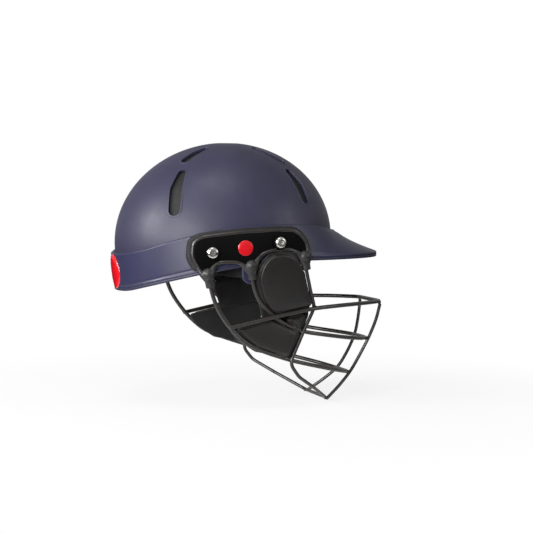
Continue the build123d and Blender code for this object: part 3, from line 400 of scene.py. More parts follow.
def grid_faces(rows: int, cols: int, wrap_rows: bool, wrap_cols: bool) -> Array:
    """Quads between neighbouring rows and columns of a grid.

    Args:
        rows: Number of rows.
        cols: Number of columns.
        wrap_rows: Whether the last row joins the first.
        wrap_cols: Whether the last column joins the first.

    Returns:
        Indices, four to a face.
    """
    row = np.arange(rows if wrap_rows else rows - 1)
    col = np.arange(cols if wrap_cols else cols - 1)
    a, b = (part.ravel() for part in np.meshgrid(row, col, indexing="ij"))
    c, d = (a + 1) % rows, (b + 1) % cols
    return np.stack([a * cols + b, c * cols + b, c * cols + d, a * cols + d], 1)


class Surface:
    """Mesh under way, in millimetres, made of grids of points."""

    def __init__(self) -> None:
        """Start empty."""
        self.points: list[Array] = []
        self.faces: list[Array] = []
        self.uv: list[Array] = []
        self.count = 0

    def grid(
        self, points: Array, wrap_rows: bool = False, wrap_cols: bool = False, uv: Array | None = None
    ) -> "Surface":
        """Add a grid.

        Args:
            points: Array of rows, columns and three coordinates.
            wrap_rows: Whether the last row joins the first.
            wrap_cols: Whether the last column joins the first.
            uv: Array of rows, columns and two coordinates.

        Returns:
            The surface itself.
        """
        rows, cols = points.shape[:2]
        self.faces.append(grid_faces(rows, cols, wrap_rows, wrap_cols) + self.count)
        self.points.append(points.reshape(-1, 3))
        self.uv.append(np.zeros((rows * cols, 2)) if uv is None else uv.reshape(-1, 2))
        self.count += rows * cols
        return self

    def mirrored(self) -> "Surface":
        """Give the same surface on the other side."""
        other = Surface()
        other.points = [part * np.array([-1.0, 1.0, 1.0]) for part in self.points]
        other.faces = [part[:, ::-1] for part in self.faces]
        other.uv = list(self.uv)
        other.count = self.count
        return other

    def join(self, other: "Surface") -> "Surface":
        """Add another surface's grids to this one."""
        self.faces += [part + self.count for part in other.faces]
        self.points += other.points
        self.uv += other.uv
        self.count += other.count
        return self

    def piece(self, name: str, finish: Finish, sharp: float = 180.0) -> bpy.types.Object:
        """Make the object: doubles merged, faces outwards, shaded smooth.

        Args:
            name: Name of the piece.
            finish: Its finish.
            sharp: Angle in degrees above which an edge stays sharp.

        Returns:
            The new object.
        """
        points = np.concatenate(self.points) * MM
        faces = np.concatenate(self.faces)
        uv = np.concatenate(self.uv)
        mesh = bpy.data.meshes.new(name)
        mesh.from_pydata(points.tolist(), [], faces.tolist())
        layer = mesh.uv_layers.new(name="UVMap")
        loops = np.empty(len(mesh.loops), dtype=np.int64)
        mesh.loops.foreach_get("vertex_index", loops)
        layer.data.foreach_set("uv", uv[loops].ravel())
        shape = bmesh.new()
        shape.from_mesh(mesh)
        bmesh.ops.remove_doubles(shape, verts=shape.verts, dist=MM * 0.002)
        bmesh.ops.dissolve_degenerate(shape, dist=MM * 0.001, edges=shape.edges)
        bmesh.ops.recalc_face_normals(shape, faces=shape.faces)
        shape.to_mesh(mesh)
        shape.free()
        mesh.shade_smooth()
        if sharp < 180.0:
            mesh.set_sharp_from_angle(angle=math.radians(sharp))
        mesh.materials.append(PAINT.of(finish))
        return add_object(name, mesh)


def place(
    piece: bpy.types.Object, body: str, slot: str, nodes: tuple[str, ...] = ()
) -> bpy.types.Object:
    """Ride a piece on a body, name its slot, and say which nodes it stands for.

    Args:
        piece: The piece.
        body: Body of the frame.
        slot: The record's material slot; not used.
        nodes: Nodes that it replaces.

    Returns:
        The piece.
    """
    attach(piece, body)
    if nodes:
        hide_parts(*nodes)
    faces = len(piece.data.polygons) if piece.type == "MESH" else 0
    log.info("%s rides %s, %d faces", piece.name, body, faces)
    return piece


def unit(vectors: Array) -> Array:
    """Vectors scaled to length one along the last axis."""
    return vectors / np.maximum(np.linalg.norm(vectors, axis=-1, keepdims=True), 1e-9)


def rounded_path(corners: Array, radii: Array, closed: bool, step: float) -> Array:
    """Straight runs joined by bends.

    A bend leaves its corner at radius times the tangent of half its turn, at most 0.46 of the
    shorter run, and is the parabola whose tangents are the two runs.

    Args:
        corners: Corner points, (n, 2) or (n, 3).
        radii: One radius to a corner.
        closed: Whether the path comes back to its start.
        step: Distance between the points of the result.

    Returns:
        Points evenly spaced along the path.
    """
    before = np.roll(corners, 1, 0) - corners
    after = np.roll(corners, -1, 0) - corners
    if not closed:
        before[0], after[-1] = -after[0], -before[-1]
    cosine = (unit(before) * unit(after)).sum(-1).clip(-1, 1)
    turn = math.pi - np.arccos(cosine)
    room = 0.46 * np.minimum(np.linalg.norm(before, axis=1), np.linalg.norm(after, axis=1))
    cut = np.minimum(radii * np.tan(turn / 2), room)[:, None]
    if not closed:
        cut[[0, -1]] = 0.0
    start, end = corners + unit(before) * cut, corners + unit(after) * cut
    t = np.linspace(0, 1, 13)[None, :, None]
    bends = (1 - t) ** 2 * start[:, None] + 2 * t * (1 - t) * corners[:, None] + t**2 * end[:, None]
    points = bends.reshape(-1, corners.shape[1])
    if closed:
        points = np.vstack([points, points[:1]])
    return resample(points, step, closed)


def resample(points: Array, step: float, closed: bool = False) -> Array:
    """Even spacing along a line by its length.

    Args:
        points: Points of the line.
        step: Wanted spacing.
        closed: Whether the last point repeats the first and is left out.

    Returns:
        The evenly spaced points.
    """
    length = np.concatenate([[0.0], np.cumsum(np.linalg.norm(np.diff(points, axis=0), axis=1))])
    keep = np.concatenate([[True], np.diff(length) > 1e-9])
    points, length = points[keep], length[keep]
    count = max(4, int(round(length[-1] / step)))
    at = np.linspace(0, length[-1], count + 1)
    if closed:
        at = at[:-1]
    return np.stack([np.interp(at, length, points[:, k]) for k in range(points.shape[1])], 1)


def relaxed(points: Array, passes: int) -> Array:
    """Line with each point moved half way to the mean of its neighbours, several times."""
    line = points.copy()
    for _ in range(passes):
        line[1:-1] = 0.5 * line[1:-1] + 0.25 * (line[:-2] + line[2:])
    return line


def tube(path: Array, radius: Array | float, sides: int, closed: bool = False) -> Array:
    """Round section carried along a path, its frame turned towards the Z axis's outside.

    Args:
        path: Points of the middle line.
        radius: Radius, or one to a point.
        sides: Points round the section.
        closed: Whether the path is a loop.

    Returns:
        Grid of points, a row to a point of the path.
    """
    ahead = np.gradient(path, axis=0)
    if closed:
        ahead = np.roll(path, -1, 0) - np.roll(path, 1, 0)
    ahead = unit(ahead)
    outward = path * np.array([1.0, 1.0, 0.35]) + np.array([0.0, 0.0, 1.0])
    first = unit(outward - (outward * ahead).sum(-1, keepdims=True) * ahead)
    second = np.cross(ahead, first)
    angle = whole_turn(sides)[None, :, None]
    size = np.broadcast_to(radius, (len(path),))[:, None, None]
    ring = first[:, None] * np.cos(angle) + second[:, None] * np.sin(angle)
    return path[:, None] + ring * size


def capped(grid: Array) -> Array:
    """Grid with a first and last row drawn to the middle, so that its ends are closed."""
    first = np.broadcast_to(grid[:1].mean(1, keepdims=True), grid[:1].shape)
    last = np.broadcast_to(grid[-1:].mean(1, keepdims=True), grid[-1:].shape)
    return np.concatenate([first, grid, last], 0)


def remeshed(piece: bpy.types.Object, voxel: float, passes: int) -> bpy.types.Object:
    """Melt a piece's closed parts into one skin and round its edges, kept in its mesh.

    Args:
        piece: The piece.
        voxel: Cell size in millimetres.
        passes: How often each point moves half way to its neighbours.

    Returns:
        The same object.
    """
    cells = piece.modifiers.new("cells", "REMESH")
    cells.mode = "VOXEL"
    cells.voxel_size = voxel * MM
    cells.use_smooth_shade = True
    smooth = piece.modifiers.new("round", "SMOOTH")
    smooth.factor, smooth.iterations = 0.5, passes
    shaped = bpy.data.meshes.new_from_object(
        piece.evaluated_get(bpy.context.evaluated_depsgraph_get())
    )
    piece.modifiers.clear()
    piece.data = shaped
    shaped.shade_smooth()
    return piece


def soft_copy(
    node: str, name: str, finish: Finish, voxel: float, passes: int, extra: Surface | None = None
) -> bpy.types.Object:
    """Soft copy of a node with rounded edges.

    The node's solid has holes, notches and grooves, which no single grid follows, so a
    merged copy of it is remeshed in small cells and smoothed.

    Args:
        node: Node of the frame.
        name: Name of the piece.
        finish: Its finish.
        voxel: Cell size in millimetres.
        passes: Smoothing passes.
        extra: A closed form that melts into the copy.

    Returns:
        The new object.
    """
    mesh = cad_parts[node].data.copy()
    mesh.name = name
    shape = bmesh.new()
    shape.from_mesh(mesh)
    if extra is not None:
        added = extra.piece(name + "_extra", finish)
        shape.from_mesh(added.data)
        bpy.data.objects.remove(added)
    bmesh.ops.remove_doubles(shape, verts=shape.verts, dist=MM * 0.001)
    shape.to_mesh(mesh)
    shape.free()
    mesh.materials.clear()
    mesh.materials.append(PAINT.of(finish))
    return remeshed(add_object(name, mesh), voxel, passes)


def swell(
    piece: bpy.types.Object, pinned: Array, pressure: float, cap: float, frames: int = 18
) -> None:
    """Blow a pad up with Blender's Cloth, its seam pinned, and keep the result in its mesh.

    Args:
        piece: The pad.
        pinned: Indices of the vertices that stay.
        pressure: Pressure inside.
        cap: Furthest that a vertex may move, in millimetres.
        frames: Steps of the simulation.
    """
    mesh = piece.data
    rest = coordinates(mesh)
    seam = piece.vertex_groups.new(name="seam")
    seam.add(pinned.tolist(), 1.0, "REPLACE")
    cloth = piece.modifiers.new("cloth", "CLOTH")
    settings = cloth.settings
    settings.use_pressure = True
    settings.uniform_pressure_force = pressure
    settings.vertex_group_mass = "seam"
    settings.effector_weights.gravity = 0.0
    settings.quality = 6
    settings.tension_stiffness = 12.0
    settings.compression_stiffness = 12.0
    settings.bending_stiffness = 0.4
    scene = bpy.context.scene
    for step in range(1, frames + 1):
        scene.frame_set(step)
    shaped = piece.evaluated_get(bpy.context.evaluated_depsgraph_get())
    moved = coordinates(shaped.data)
    piece.modifiers.remove(cloth)
    scene.frame_set(1)
    shift = moved - rest
    far = np.linalg.norm(shift, axis=1, keepdims=True)
    shift *= np.minimum(1.0, cap * MM / np.maximum(far, 1e-9))
    mesh.vertices.foreach_set("co", (rest + shift).ravel())
    mesh.update()


# Forms that several sub-assemblies share


@dataclass(frozen=True)
class Dome:
    """The dome's ellipsoid and its tilt. Sizes are in millimetres, the tilt in degrees."""

    half_width: float = 101.0
    half_length: float = 122.0
    height: float = 107.0
    tilt: float = 5.3

    def half_axes(self, inset: Array | float) -> list:
        """Half axes of the face drawn in by inset, each a number or an array."""
        return [axis - inset for axis in (self.half_width, self.half_length, self.height)]

    def world(self, points: Array) -> Array:
        """Points of the dome's own frame, tilted back about X."""
        lean = math.radians(-self.tilt)
        y = points[..., 1] * math.cos(lean) - points[..., 2] * math.sin(lean)
        z = points[..., 1] * math.sin(lean) + points[..., 2] * math.cos(lean)
        return np.stack([points[..., 0], y, z], -1)

    def point(self, azimuth: Array, elevation: Array, inset: Array | float) -> Array:
        """Point of the own frame at an azimuth and an elevation, both in radians."""
        axes = self.half_axes(inset)
        return np.stack(
            [
                axes[0] * np.cos(elevation) * np.sin(azimuth),
                -axes[1] * np.cos(elevation) * np.cos(azimuth),
                axes[2] * np.sin(elevation) * np.ones_like(azimuth),
            ],
            -1,
        )

    def normal(self, points: Array) -> Array:
        """Outward direction at points of the own frame."""
        return unit(points / np.array(self.half_axes(0.0)) ** 2)

    def drop(self, origins: Array, along: Array, inset: float) -> Array:
        """Where lines from origins along a direction last cross the face drawn in by inset.

        With p the origin and d the direction, both divided by the half axes, the distance s
        solves |p + s d| = 1.
        """
        axes = np.array(self.half_axes(inset))
        p, d = origins / axes, along / axes
        dd, pd, pp = (d * d).sum(-1), (p * d).sum(-1), (p * p).sum(-1) - 1.0
        s = (-pd + np.sqrt(np.maximum(pd * pd - dd * pp, 0.0))) / dd
        return origins + s[..., None] * along


DOME = Dome()


@dataclass(frozen=True)
class Band:
    """The lower shell's section and its course round the head, in millimetres."""

    half_width: float = 105.0
    half_length: float = 126.0
    foot_length: float = 122.0
    peak_reach: float = 178.0
    wall: float = 3.0
    top_at_rear: float = -13.5
    top_rise: float = 32.5
    rim_front: float = 20.5
    rim_fall: float = 34.0
    lip: float = 3.2
    trim: float = 2.8
    top_shares: tuple = (0.72, 0.74, 0.81, 0.93, 0.985, 1.0, 0.965, 0.89, 0.69, 0.47, 0.2, 0.03, 0.0)
    fall_shares: tuple = (0.0, 0.0, 0.0, 0.0, 0.0, 0.03, 0.12, 0.25, 0.41, 0.6, 0.8, 0.97, 1.0)

    @staticmethod
    def table(shares: tuple, azimuth: Array) -> Array:
        """Smooth value between stations 15 degrees apart, the same on both sides.

        Between two stations the value is the Catmull-Rom cubic of the four nearest ones, and
        the stations are mirrored at the front and at the rear.
        """
        ext = np.array([shares[1], *shares, shares[-2]])
        turn = np.abs((np.degrees(azimuth) + 180.0) % 360.0 - 180.0) / 15.0
        index = np.minimum(turn.astype(int), len(shares) - 2)
        t = turn - index
        p = [ext[index + k] for k in range(4)]
        slope_a, slope_b = (p[2] - p[0]) / 2, (p[3] - p[1]) / 2
        return (
            p[1] * (2 * t**3 - 3 * t**2 + 1) + slope_a * (t**3 - 2 * t**2 + t)
            + p[2] * (3 * t**2 - 2 * t**3) + slope_b * (t**3 - t**2)
        )

    @staticmethod
    def reach(half_width: float, half_length: Array | float, azimuth: Array) -> Array:
        """Distance from the Z axis to an ellipse at an azimuth."""
        return 1.0 / np.hypot(np.sin(azimuth) / half_width, np.cos(azimuth) / half_length)

    def lines(self, azimuth: Array) -> dict[str, Array]:
        """Heights and reaches of the section's main points at each azimuth."""
        top = self.top_at_rear + self.top_rise * self.table(self.top_shares, azimuth)
        rim = -self.rim_front - self.rim_fall * self.table(self.fall_shares, azimuth)
        front = np.cos(azimuth) > 0
        edge = np.where(
            front,
            self.reach(self.half_width, self.peak_reach, azimuth),
            self.reach(self.half_width, self.foot_length, azimuth),
        )
        crown = self.reach(self.half_width, self.half_length, azimuth)
        return {"top": top, "rim": rim, "low": rim + self.trim, "edge": edge, "crown": crown}

    def dome_reach(self, azimuth: Array, height: Array) -> Array:
        """Level distance to the dome's outer face: the positive root of its quadratic in r."""
        lean = math.radians(DOME.tilt)
        side = np.sin(azimuth) / DOME.half_width
        y = (-np.cos(azimuth) * math.cos(lean), -height * math.sin(lean))
        z = (-np.cos(azimuth) * math.sin(lean), height * math.cos(lean))

        def root(up: bool) -> Array:
            a = [side, y[0] / DOME.half_length] + ([z[0] / DOME.height] if up else [])
            b = [0.0, y[1] / DOME.half_length] + ([z[1] / DOME.height] if up else [])
            square = sum(p * p for p in a)
            cross = sum(p * q for p, q in zip(a, b))
            rest = sum(q * q for q in b) - 1.0
            return (-cross + np.sqrt(cross * cross - square * rest)) / square

        full = root(True)
        return np.where(z[0] * full + z[1] < 0, root(False), full)

    def bezier(self, azimuth: Array) -> tuple[Array, Array, Array]:
        """Start, control and end of the outer curve, as reach and height."""
        line = self.lines(azimuth)
        start = np.stack([line["crown"], line["top"]], -1)
        end = np.stack([line["edge"], line["low"] + self.lip], -1)
        bend = start + (end - start) * np.array([0.28, 0.49])
        return start, bend, end

    def outer_reach(self, azimuth: Array, height: Array) -> Array:
        """Reach of the outer face at a height: the curve's own quadratic solved for t."""
        start, bend, end = self.bezier(azimuth)
        a = start[..., 1] - 2 * bend[..., 1] + end[..., 1]
        b = 2 * (bend[..., 1] - start[..., 1])
        c = start[..., 1] - height
        a = np.where(np.abs(a) < 1e-6, 1e-6, a)
        t = ((-b - np.sqrt(np.maximum(b * b - 4 * a * c, 0.0))) / (2 * a)).clip(0, 1)
        return (1 - t) ** 2 * start[..., 0] + 2 * t * (1 - t) * bend[..., 0] + t**2 * end[..., 0]

    def plan_x(self, y: Array, grow: float) -> Array:
        """Half width of the foot's plan at y, grown all round."""
        length = np.where(y < 0, self.peak_reach, self.foot_length) + grow
        return (self.half_width + grow) * np.sqrt(np.maximum(1 - (y / length) ** 2, 1e-4))


BAND = Band()


@dataclass(frozen=True)
class PlateForm:
    """The upright drum that the side plates and their frames follow."""

    drum: float = 230.0
    offset: float = 109.5
    face: float = 1.0

    def x(self, y: Array, step: float) -> Array:
        """X of the right side's drum, moved out by step."""
        return self.drum - self.offset - np.sqrt((self.drum + step) ** 2 - y * y)


PLATE = PlateForm()


# Sub-assemblies


@dataclass
class DomeShell:
    """Dome with the rolled rims of its vents. A vent is the hull of three circles."""

    rim_width: float = 2.3
    rim_rise: float = 0.42
    rim_lining: float = 0.25
    rim_depth: float = 3.1
    vent_width: float = 13.5
    vent_shares: tuple = (
        ((130.5, 47.5, 0.67), (131.2, 36.0, 0.85), (128.8, 22.8, 1.0)),
        ((135.0, 59.6, 0.81), (131.0, 66.5, 0.7), (119.5, 72.8, 0.44)),
        ((43.0, 65.3, 0.56), (40.8, 58.0, 0.74), (38.0, 49.5, 0.74)),
        ((45.5, 40.0, 0.67), (45.4, 31.0, 0.89), (47.8, 21.3, 0.89)),
    )
    crown_radius: float = 11.5
    crown_ahead: float = 14.0
    crown_depth: float = 0.6

    def outline(self, vent: tuple) -> tuple[Array, Array, Array]:
        """Rim of a right side vent on the dome's face.

        In its own plane the rim is the hull of three circles: towards each direction u it
        is c + r u for the circle with the greatest c . u + r. It drops on to the face along
        the plane's normal.

        Args:
            vent: Azimuth, elevation and width share at each end and between.

        Returns:
            Rim points, outward directions in the face, and the face's normals.
        """
        ends = np.array(
            [DOME.point(np.array(math.radians(-a)), np.array(math.radians(e)), 0.0)
             for a, e, _ in vent]
        )
        radii = self.vent_width / 2 * np.array([share for _, _, share in vent])
        normal = DOME.normal((ends[0] + ends[-1]) / 2)
        along = unit(ends[-1] - ends[0] - ((ends[-1] - ends[0]) @ normal) * normal)
        across = np.cross(normal, along)
        centres = np.stack([(ends - ends[0]) @ along, (ends - ends[0]) @ across], 1)
        turn = whole_turn(240)
        ways = np.stack([np.cos(turn), np.sin(turn)], 1)
        furthest = (centres @ ways.T + radii[:, None]).argmax(0)
        flat = centres[furthest] + radii[furthest, None] * ways
        flat = resample(np.vstack([flat, flat[:1]]), 0.8, True)
        origins = ends[0] + flat[:, :1] * along + flat[:, 1:] * across
        points = DOME.drop(origins - 40 * normal, normal, 0.0)
        normals = DOME.normal(points)
        ahead = unit(np.roll(points, -1, 0) - np.roll(points, 1, 0))
        return points, np.cross(ahead, normals) * self.outward_sign(points, ahead, normals), normals

    @staticmethod
    def outward_sign(points: Array, ahead: Array, normals: Array) -> float:
        """Which side of the rim's line is outside."""
        side = np.cross(ahead, normals)
        return float(np.sign(((points - points.mean(0)) * side).sum()))

    def rim(self, vent: tuple) -> Surface:
        """Rolled rim of a vent: a lip's profile carried round the outline.

        The profile rises out of the dome's face, rolls over the edge as a quarter ellipse
        and goes down the wall of the vent, then comes back inside the wall.
        """
        points, out, normals = self.outline(vent)
        roll = np.linspace(0, 1, 9) * math.pi / 2
        rise = np.linspace(0, 1, 6)
        steps = np.concatenate([self.rim_width * (1 - rise), -self.rim_lining * np.sin(roll[1:])])
        heights = np.concatenate(
            [-0.12 + (self.rim_rise + 0.12) * np.sin(rise * math.pi / 2),
             self.rim_rise - 1.1 * (1 - np.cos(roll[1:]))]
        )
        steps = np.concatenate([steps, [-self.rim_lining, -self.rim_lining, 0.8, 0.8]])
        heights = np.concatenate([heights, [-2.0, -self.rim_depth, -self.rim_depth, -0.6]])
        grid = (
            points[:, None] + steps[None, :, None] * out[:, None]
            + heights[None, :, None] * normals[:, None]
        )
        return Surface().grid(DOME.world(grid), True, True)

    def crown_disc(self) -> Surface:
        """Slightly domed disc: its height falls with the 14th power of the radius at its edge."""
        y = -self.crown_ahead
        z = math.sqrt(1 - (y / DOME.half_length) ** 2) * DOME.height
        centre = np.array([0.0, y, z])
        normal = DOME.normal(centre)
        right = np.array([1.0, 0.0, 0.0])
        ahead = np.cross(normal, right)
        ring = np.linspace(0, 1, 22)[:, None]
        angle = whole_turn(72)[None]
        height = -0.9 * ring**14 - 0.25 * np.exp(-(((ring - 0.72) / 0.04) ** 2)) + 0.15 * (1 - ring**2)
        radius = self.crown_radius * ring
        top = (
            centre + (radius * np.cos(angle))[..., None] * right
            + (radius * np.sin(angle))[..., None] * ahead
            + ((height - self.crown_depth) * np.ones_like(angle))[..., None] * normal
        )
        foot = top[-1:] - 0.6 * normal
        foot_centre = np.broadcast_to(foot.mean(1, keepdims=True), foot.shape)
        return Surface().grid(DOME.world(np.concatenate([top, foot, foot_centre])), False, True)

    def build(self) -> None:
        """Dress the dome and add the vent rims and the crown disc."""
        dress("dome_shell", DOME_ABS)
        rims = Surface()
        for vent in self.vent_shares:
            rim = self.rim(vent)
            rims.join(rim).join(rim.mirrored())
        place(rims.piece("vent_rims", DOME_ABS), "helmet", "dome_shell_plastic")
        disc = self.crown_disc().piece("crown_disc_face", CROWN_ACETAL, 50)
        place(disc, "helmet", "trim_black", ("crown_disc",))


def dress(node: str, finish: Finish) -> None:
    """Give a node of the frame a finish."""
    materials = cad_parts[node].data.materials
    materials.clear()
    materials.append(PAINT.of(finish))


@dataclass
class LowerShell:
    """Band and peak in one moulding, its edge trims, temple lobes and rear badge."""

    columns: int = 600
    top_round: float = 1.3
    edge_round: float = 0.55
    lobe_ends: tuple = (-50.0, 8.0)
    lobe_bottom: float = -44.0
    lobe_corner: float = 10.0
    lobe_inset: float = 2.6
    badge_radius: float = 19.0
    badge_thickness: float = 1.6
    badge_drop: float = 34.0

    def shell(self) -> Surface:
        """The moulding: a closed section carried round the head.

        The section's outer and inner faces are quadratic Bezier curves, a half ellipse joins
        them at the top, and small rounds and a fine groove finish the lip.
        """
        azimuth = whole_turn(self.columns)
        line = BAND.lines(azimuth)
        start, bend, end = BAND.bezier(azimuth)
        start, bend, end = (part[:, None] for part in (start, bend, end))
        t = np.linspace(0, 1, 26)[None, :, None]
        outer = (1 - t) ** 2 * start + 2 * t * (1 - t) * bend + t**2 * end
        first, last = unit(bend - start), unit(end - bend)
        spread = 1 + (first * last).sum(-1, keepdims=True)
        turned = np.stack([first[..., 1] + last[..., 1], -(first[..., 0] + last[..., 0])], -1)
        inner_bend = bend + BAND.wall * turned / spread
        slip = BAND.wall * last[..., 0] / (1 - last[..., 1])
        inner_low = end[..., 1] - BAND.wall * last[..., 0] - slip * last[..., 1]
        inner_end = np.stack([end[..., 0] - BAND.wall, inner_low], -1)
        inner_reach = BAND.dome_reach(azimuth, line["top"])[:, None] + 0.3
        inner_start = np.stack([inner_reach, start[..., 1]], -1)
        t = t[:, ::-1]
        inner = (1 - t) ** 2 * inner_start + 2 * t * (1 - t) * inner_bend + t**2 * inner_end
        outer, inner = outer.copy(), inner.copy()
        fade = np.linspace(0, 1, 26)
        drop = self.top_round * np.maximum(0, 1 - fade * 6)[None]
        outer[..., 1] -= drop
        inner[..., 1] -= drop[:, ::-1]
        outer[:, -2, 0] -= 0.1
        outer[:, -1, 0] -= 0.55
        edge, low = line["edge"][:, None], line["low"][:, None]
        lip_x = np.array([0.0, 0.0, 0.0, -0.15, -self.edge_round, -1.5, self.edge_round - BAND.wall,
                          0.15 - BAND.wall, -BAND.wall])
        lip_z = np.array([BAND.lip - 0.7, 1.6, self.edge_round, 0.15, 0.0, 0.0, 0.0, 0.15, self.edge_round])
        lip = np.stack([edge + lip_x, low + lip_z], -1)
        arc = np.linspace(0, math.pi, 9)[None, 1:-1, None]
        middle = (outer[:, :1] + inner[:, -1:]) / 2
        half = (inner[:, -1:] - outer[:, :1]) / 2
        rise = np.zeros_like(half)
        rise[..., 1] = self.top_round
        cap = middle - half * np.cos(arc) + rise * np.sin(arc)
        section = np.concatenate([outer, lip, inner, cap[:, ::-1]], 1)
        return Surface().grid(self.around(section, azimuth), True, True)

    @staticmethod
    def around(section: Array, azimuth: Array) -> Array:
        """Sections as reach and height, set at their azimuths."""
        turn = azimuth[:, None]
        return np.stack(
            [section[..., 0] * np.sin(turn), -section[..., 0] * np.cos(turn), section[..., 1]], -1
        )

    def trim(self, first: float, last: float) -> Surface:
        """Edging under the rim: a bull-nosed strip between two azimuths in degrees."""
        azimuth = np.radians(np.linspace(first, last, int(abs(last - first) * 2)))
        line = BAND.lines(azimuth)
        x = np.array([-0.1, 0.0, 0.0, -0.25, -0.9, -1.5, -2.1, -2.75, -3.0, -3.0, -2.9])
        z = np.array([0.0, 0.25, 1.6, 2.35, 2.75, 2.8, 2.75, 2.35, 1.6, 0.25, 0.0])
        section = np.stack([line["edge"][:, None] + x, line["low"][:, None] - z - 0.02], -1)
        return Surface().grid(capped(self.around(section, azimuth)), False, True)

    def lobe(self) -> Surface:
        """Temple lobe: a tab on the band's inner wall, thinned to nothing at its two ends."""
        y = np.linspace(self.lobe_ends[0], self.lobe_ends[1], 90)
        far = np.minimum(y - y[0], y[-1] - y)
        corner = np.maximum(self.lobe_corner - far, 0)
        bottom = self.lobe_bottom + self.lobe_corner - np.sqrt(
            np.maximum(self.lobe_corner**2 - corner**2, 0)
        )
        azimuth = np.arctan2(BAND.plan_x(y, 0.0), -y)
        top = BAND.lines(azimuth)["low"] + 3.0
        round_end = np.sqrt(1 - np.maximum(1 - far / 1.5, 0) ** 2)
        t = np.linspace(0, 1, 14)
        arc = np.linspace(0, math.pi, 9)[1:-1]
        depth = np.concatenate([np.zeros(14), (1 - np.cos(arc)) / 2, np.ones(14), ])
        fall = np.concatenate([t, np.ones(7), t[::-1]])
        extra = np.concatenate([np.zeros(14), np.sin(arc) * 1.2, np.zeros(14)])
        depth = 0.5 + (depth[None] - 0.5) * round_end[:, None]
        x = -BAND.plan_x(y, -self.lobe_inset)[:, None] + 3.0 * depth
        z = top[:, None] + (bottom + 1.2 - top)[:, None] * fall - extra
        return Surface().grid(np.stack([x, np.broadcast_to(y[:, None], x.shape), z], -1), False, True)

    def badge(self) -> Surface:
        """Rear badge bedded on the band: a disc whose height is 1 - r^10, with a fine ring."""
        ring = np.linspace(0, 1, 26)[:, None]
        angle = whole_turn(96)[None]
        x = self.badge_radius * ring * np.cos(angle)
        z = self.badge_radius * ring * np.sin(angle) - self.badge_drop
        y = np.full_like(x, BAND.foot_length)
        for _ in range(4):
            azimuth = np.arctan2(x, -y)
            y = -BAND.outer_reach(azimuth, z) * np.cos(azimuth)
        height = self.badge_thickness * np.sqrt(1 - ring**10) - 0.3 * np.exp(
            -(((ring - 0.84) / 0.025) ** 2)
        )
        top = np.stack([x, y + height, z], -1)
        foot = np.stack([x, y - 0.05, z], -1)[::-1]
        return Surface().grid(np.concatenate([top, foot]), False, True)

    def build(self) -> None:
        """Make the shell's pieces."""
        place(self.shell().piece("lower_shell_moulding", BAND_ABS), "helmet",
              "lower_shell_plastic", ("lower_shell",))
        lobe = self.lobe()
        place(lobe.join(lobe.mirrored()).piece("temple_lobes", BAND_ABS), "helmet",
              "lower_shell_plastic")
        place(self.trim(-63.5, 63.5).piece("peak_edging", EDGE_TRIM), "helmet", "trim_black",
              ("peak_trim",))
        place(self.trim(94.5, 265.5).piece("rear_edging", EDGE_TRIM), "helmet", "trim_black",
              ("rear_trim",))
        place(self.badge().piece("rear_badge_disc", BADGE_RED, 50), "helmet", "badge_red",
              ("rear_badge",))


@dataclass
class SideHardware:
    """Side plates, gaskets, badges, screws, washers and nuts."""

    badge_place: tuple = (6.3, -5.3)
    badge_radius: float = 8.2
    badge_rise: float = 0.6
    gasket_voxel: float = 0.9

    def badge(self) -> Surface:
        """Domed badge on the right side plate: height is 1 - r^8, with a fine ring."""
        ring = np.linspace(0, 1, 22)[:, None]
        angle = whole_turn(72)[None]
        y = self.badge_place[0] + self.badge_radius * ring * np.cos(angle)
        z = self.badge_place[1] + self.badge_radius * ring * np.sin(angle)
        rise = self.badge_rise * np.sqrt(1 - ring**8) - 0.12 * np.exp(-(((ring - 0.8) / 0.03) ** 2))
        face = PLATE.x(y, PLATE.face)
        top = np.stack([face - rise, y, z], -1)
        foot = np.stack([face + 0.02, y, z], -1)[::-1]
        return Surface().grid(np.concatenate([top, foot]), False, True)

    def build(self) -> None:
        """Dress the metal and the plates, and make gaskets and badges."""
        for side in ("left", "right"):
            dress("side_plate_" + side, GLOSS_PLATE)
            gasket = soft_copy("gasket_" + side, "gasket_rubber_" + side, GASKET_RUBBER,
                               self.gasket_voxel, 6)
            place(gasket, "helmet", "rubber_black", ("gasket_" + side,))
            for end in ("front", "rear"):
                dress(f"{end}_plate_screw_{side}", NICKEL)
        badge = self.badge()
        place(badge.piece("side_badge_disc_right", BADGE_RED, 50), "face_guard", "badge_red",
              ("side_badge_right",))
        place(badge.mirrored().piece("side_badge_disc_left", BADGE_RED, 50), "face_guard",
              "badge_red", ("side_badge_left",))
        dress("plate_washers", BLACK_NICKEL)
        dress("strap_rivets", NICKEL)
        dress("tee_nuts", ZINC)


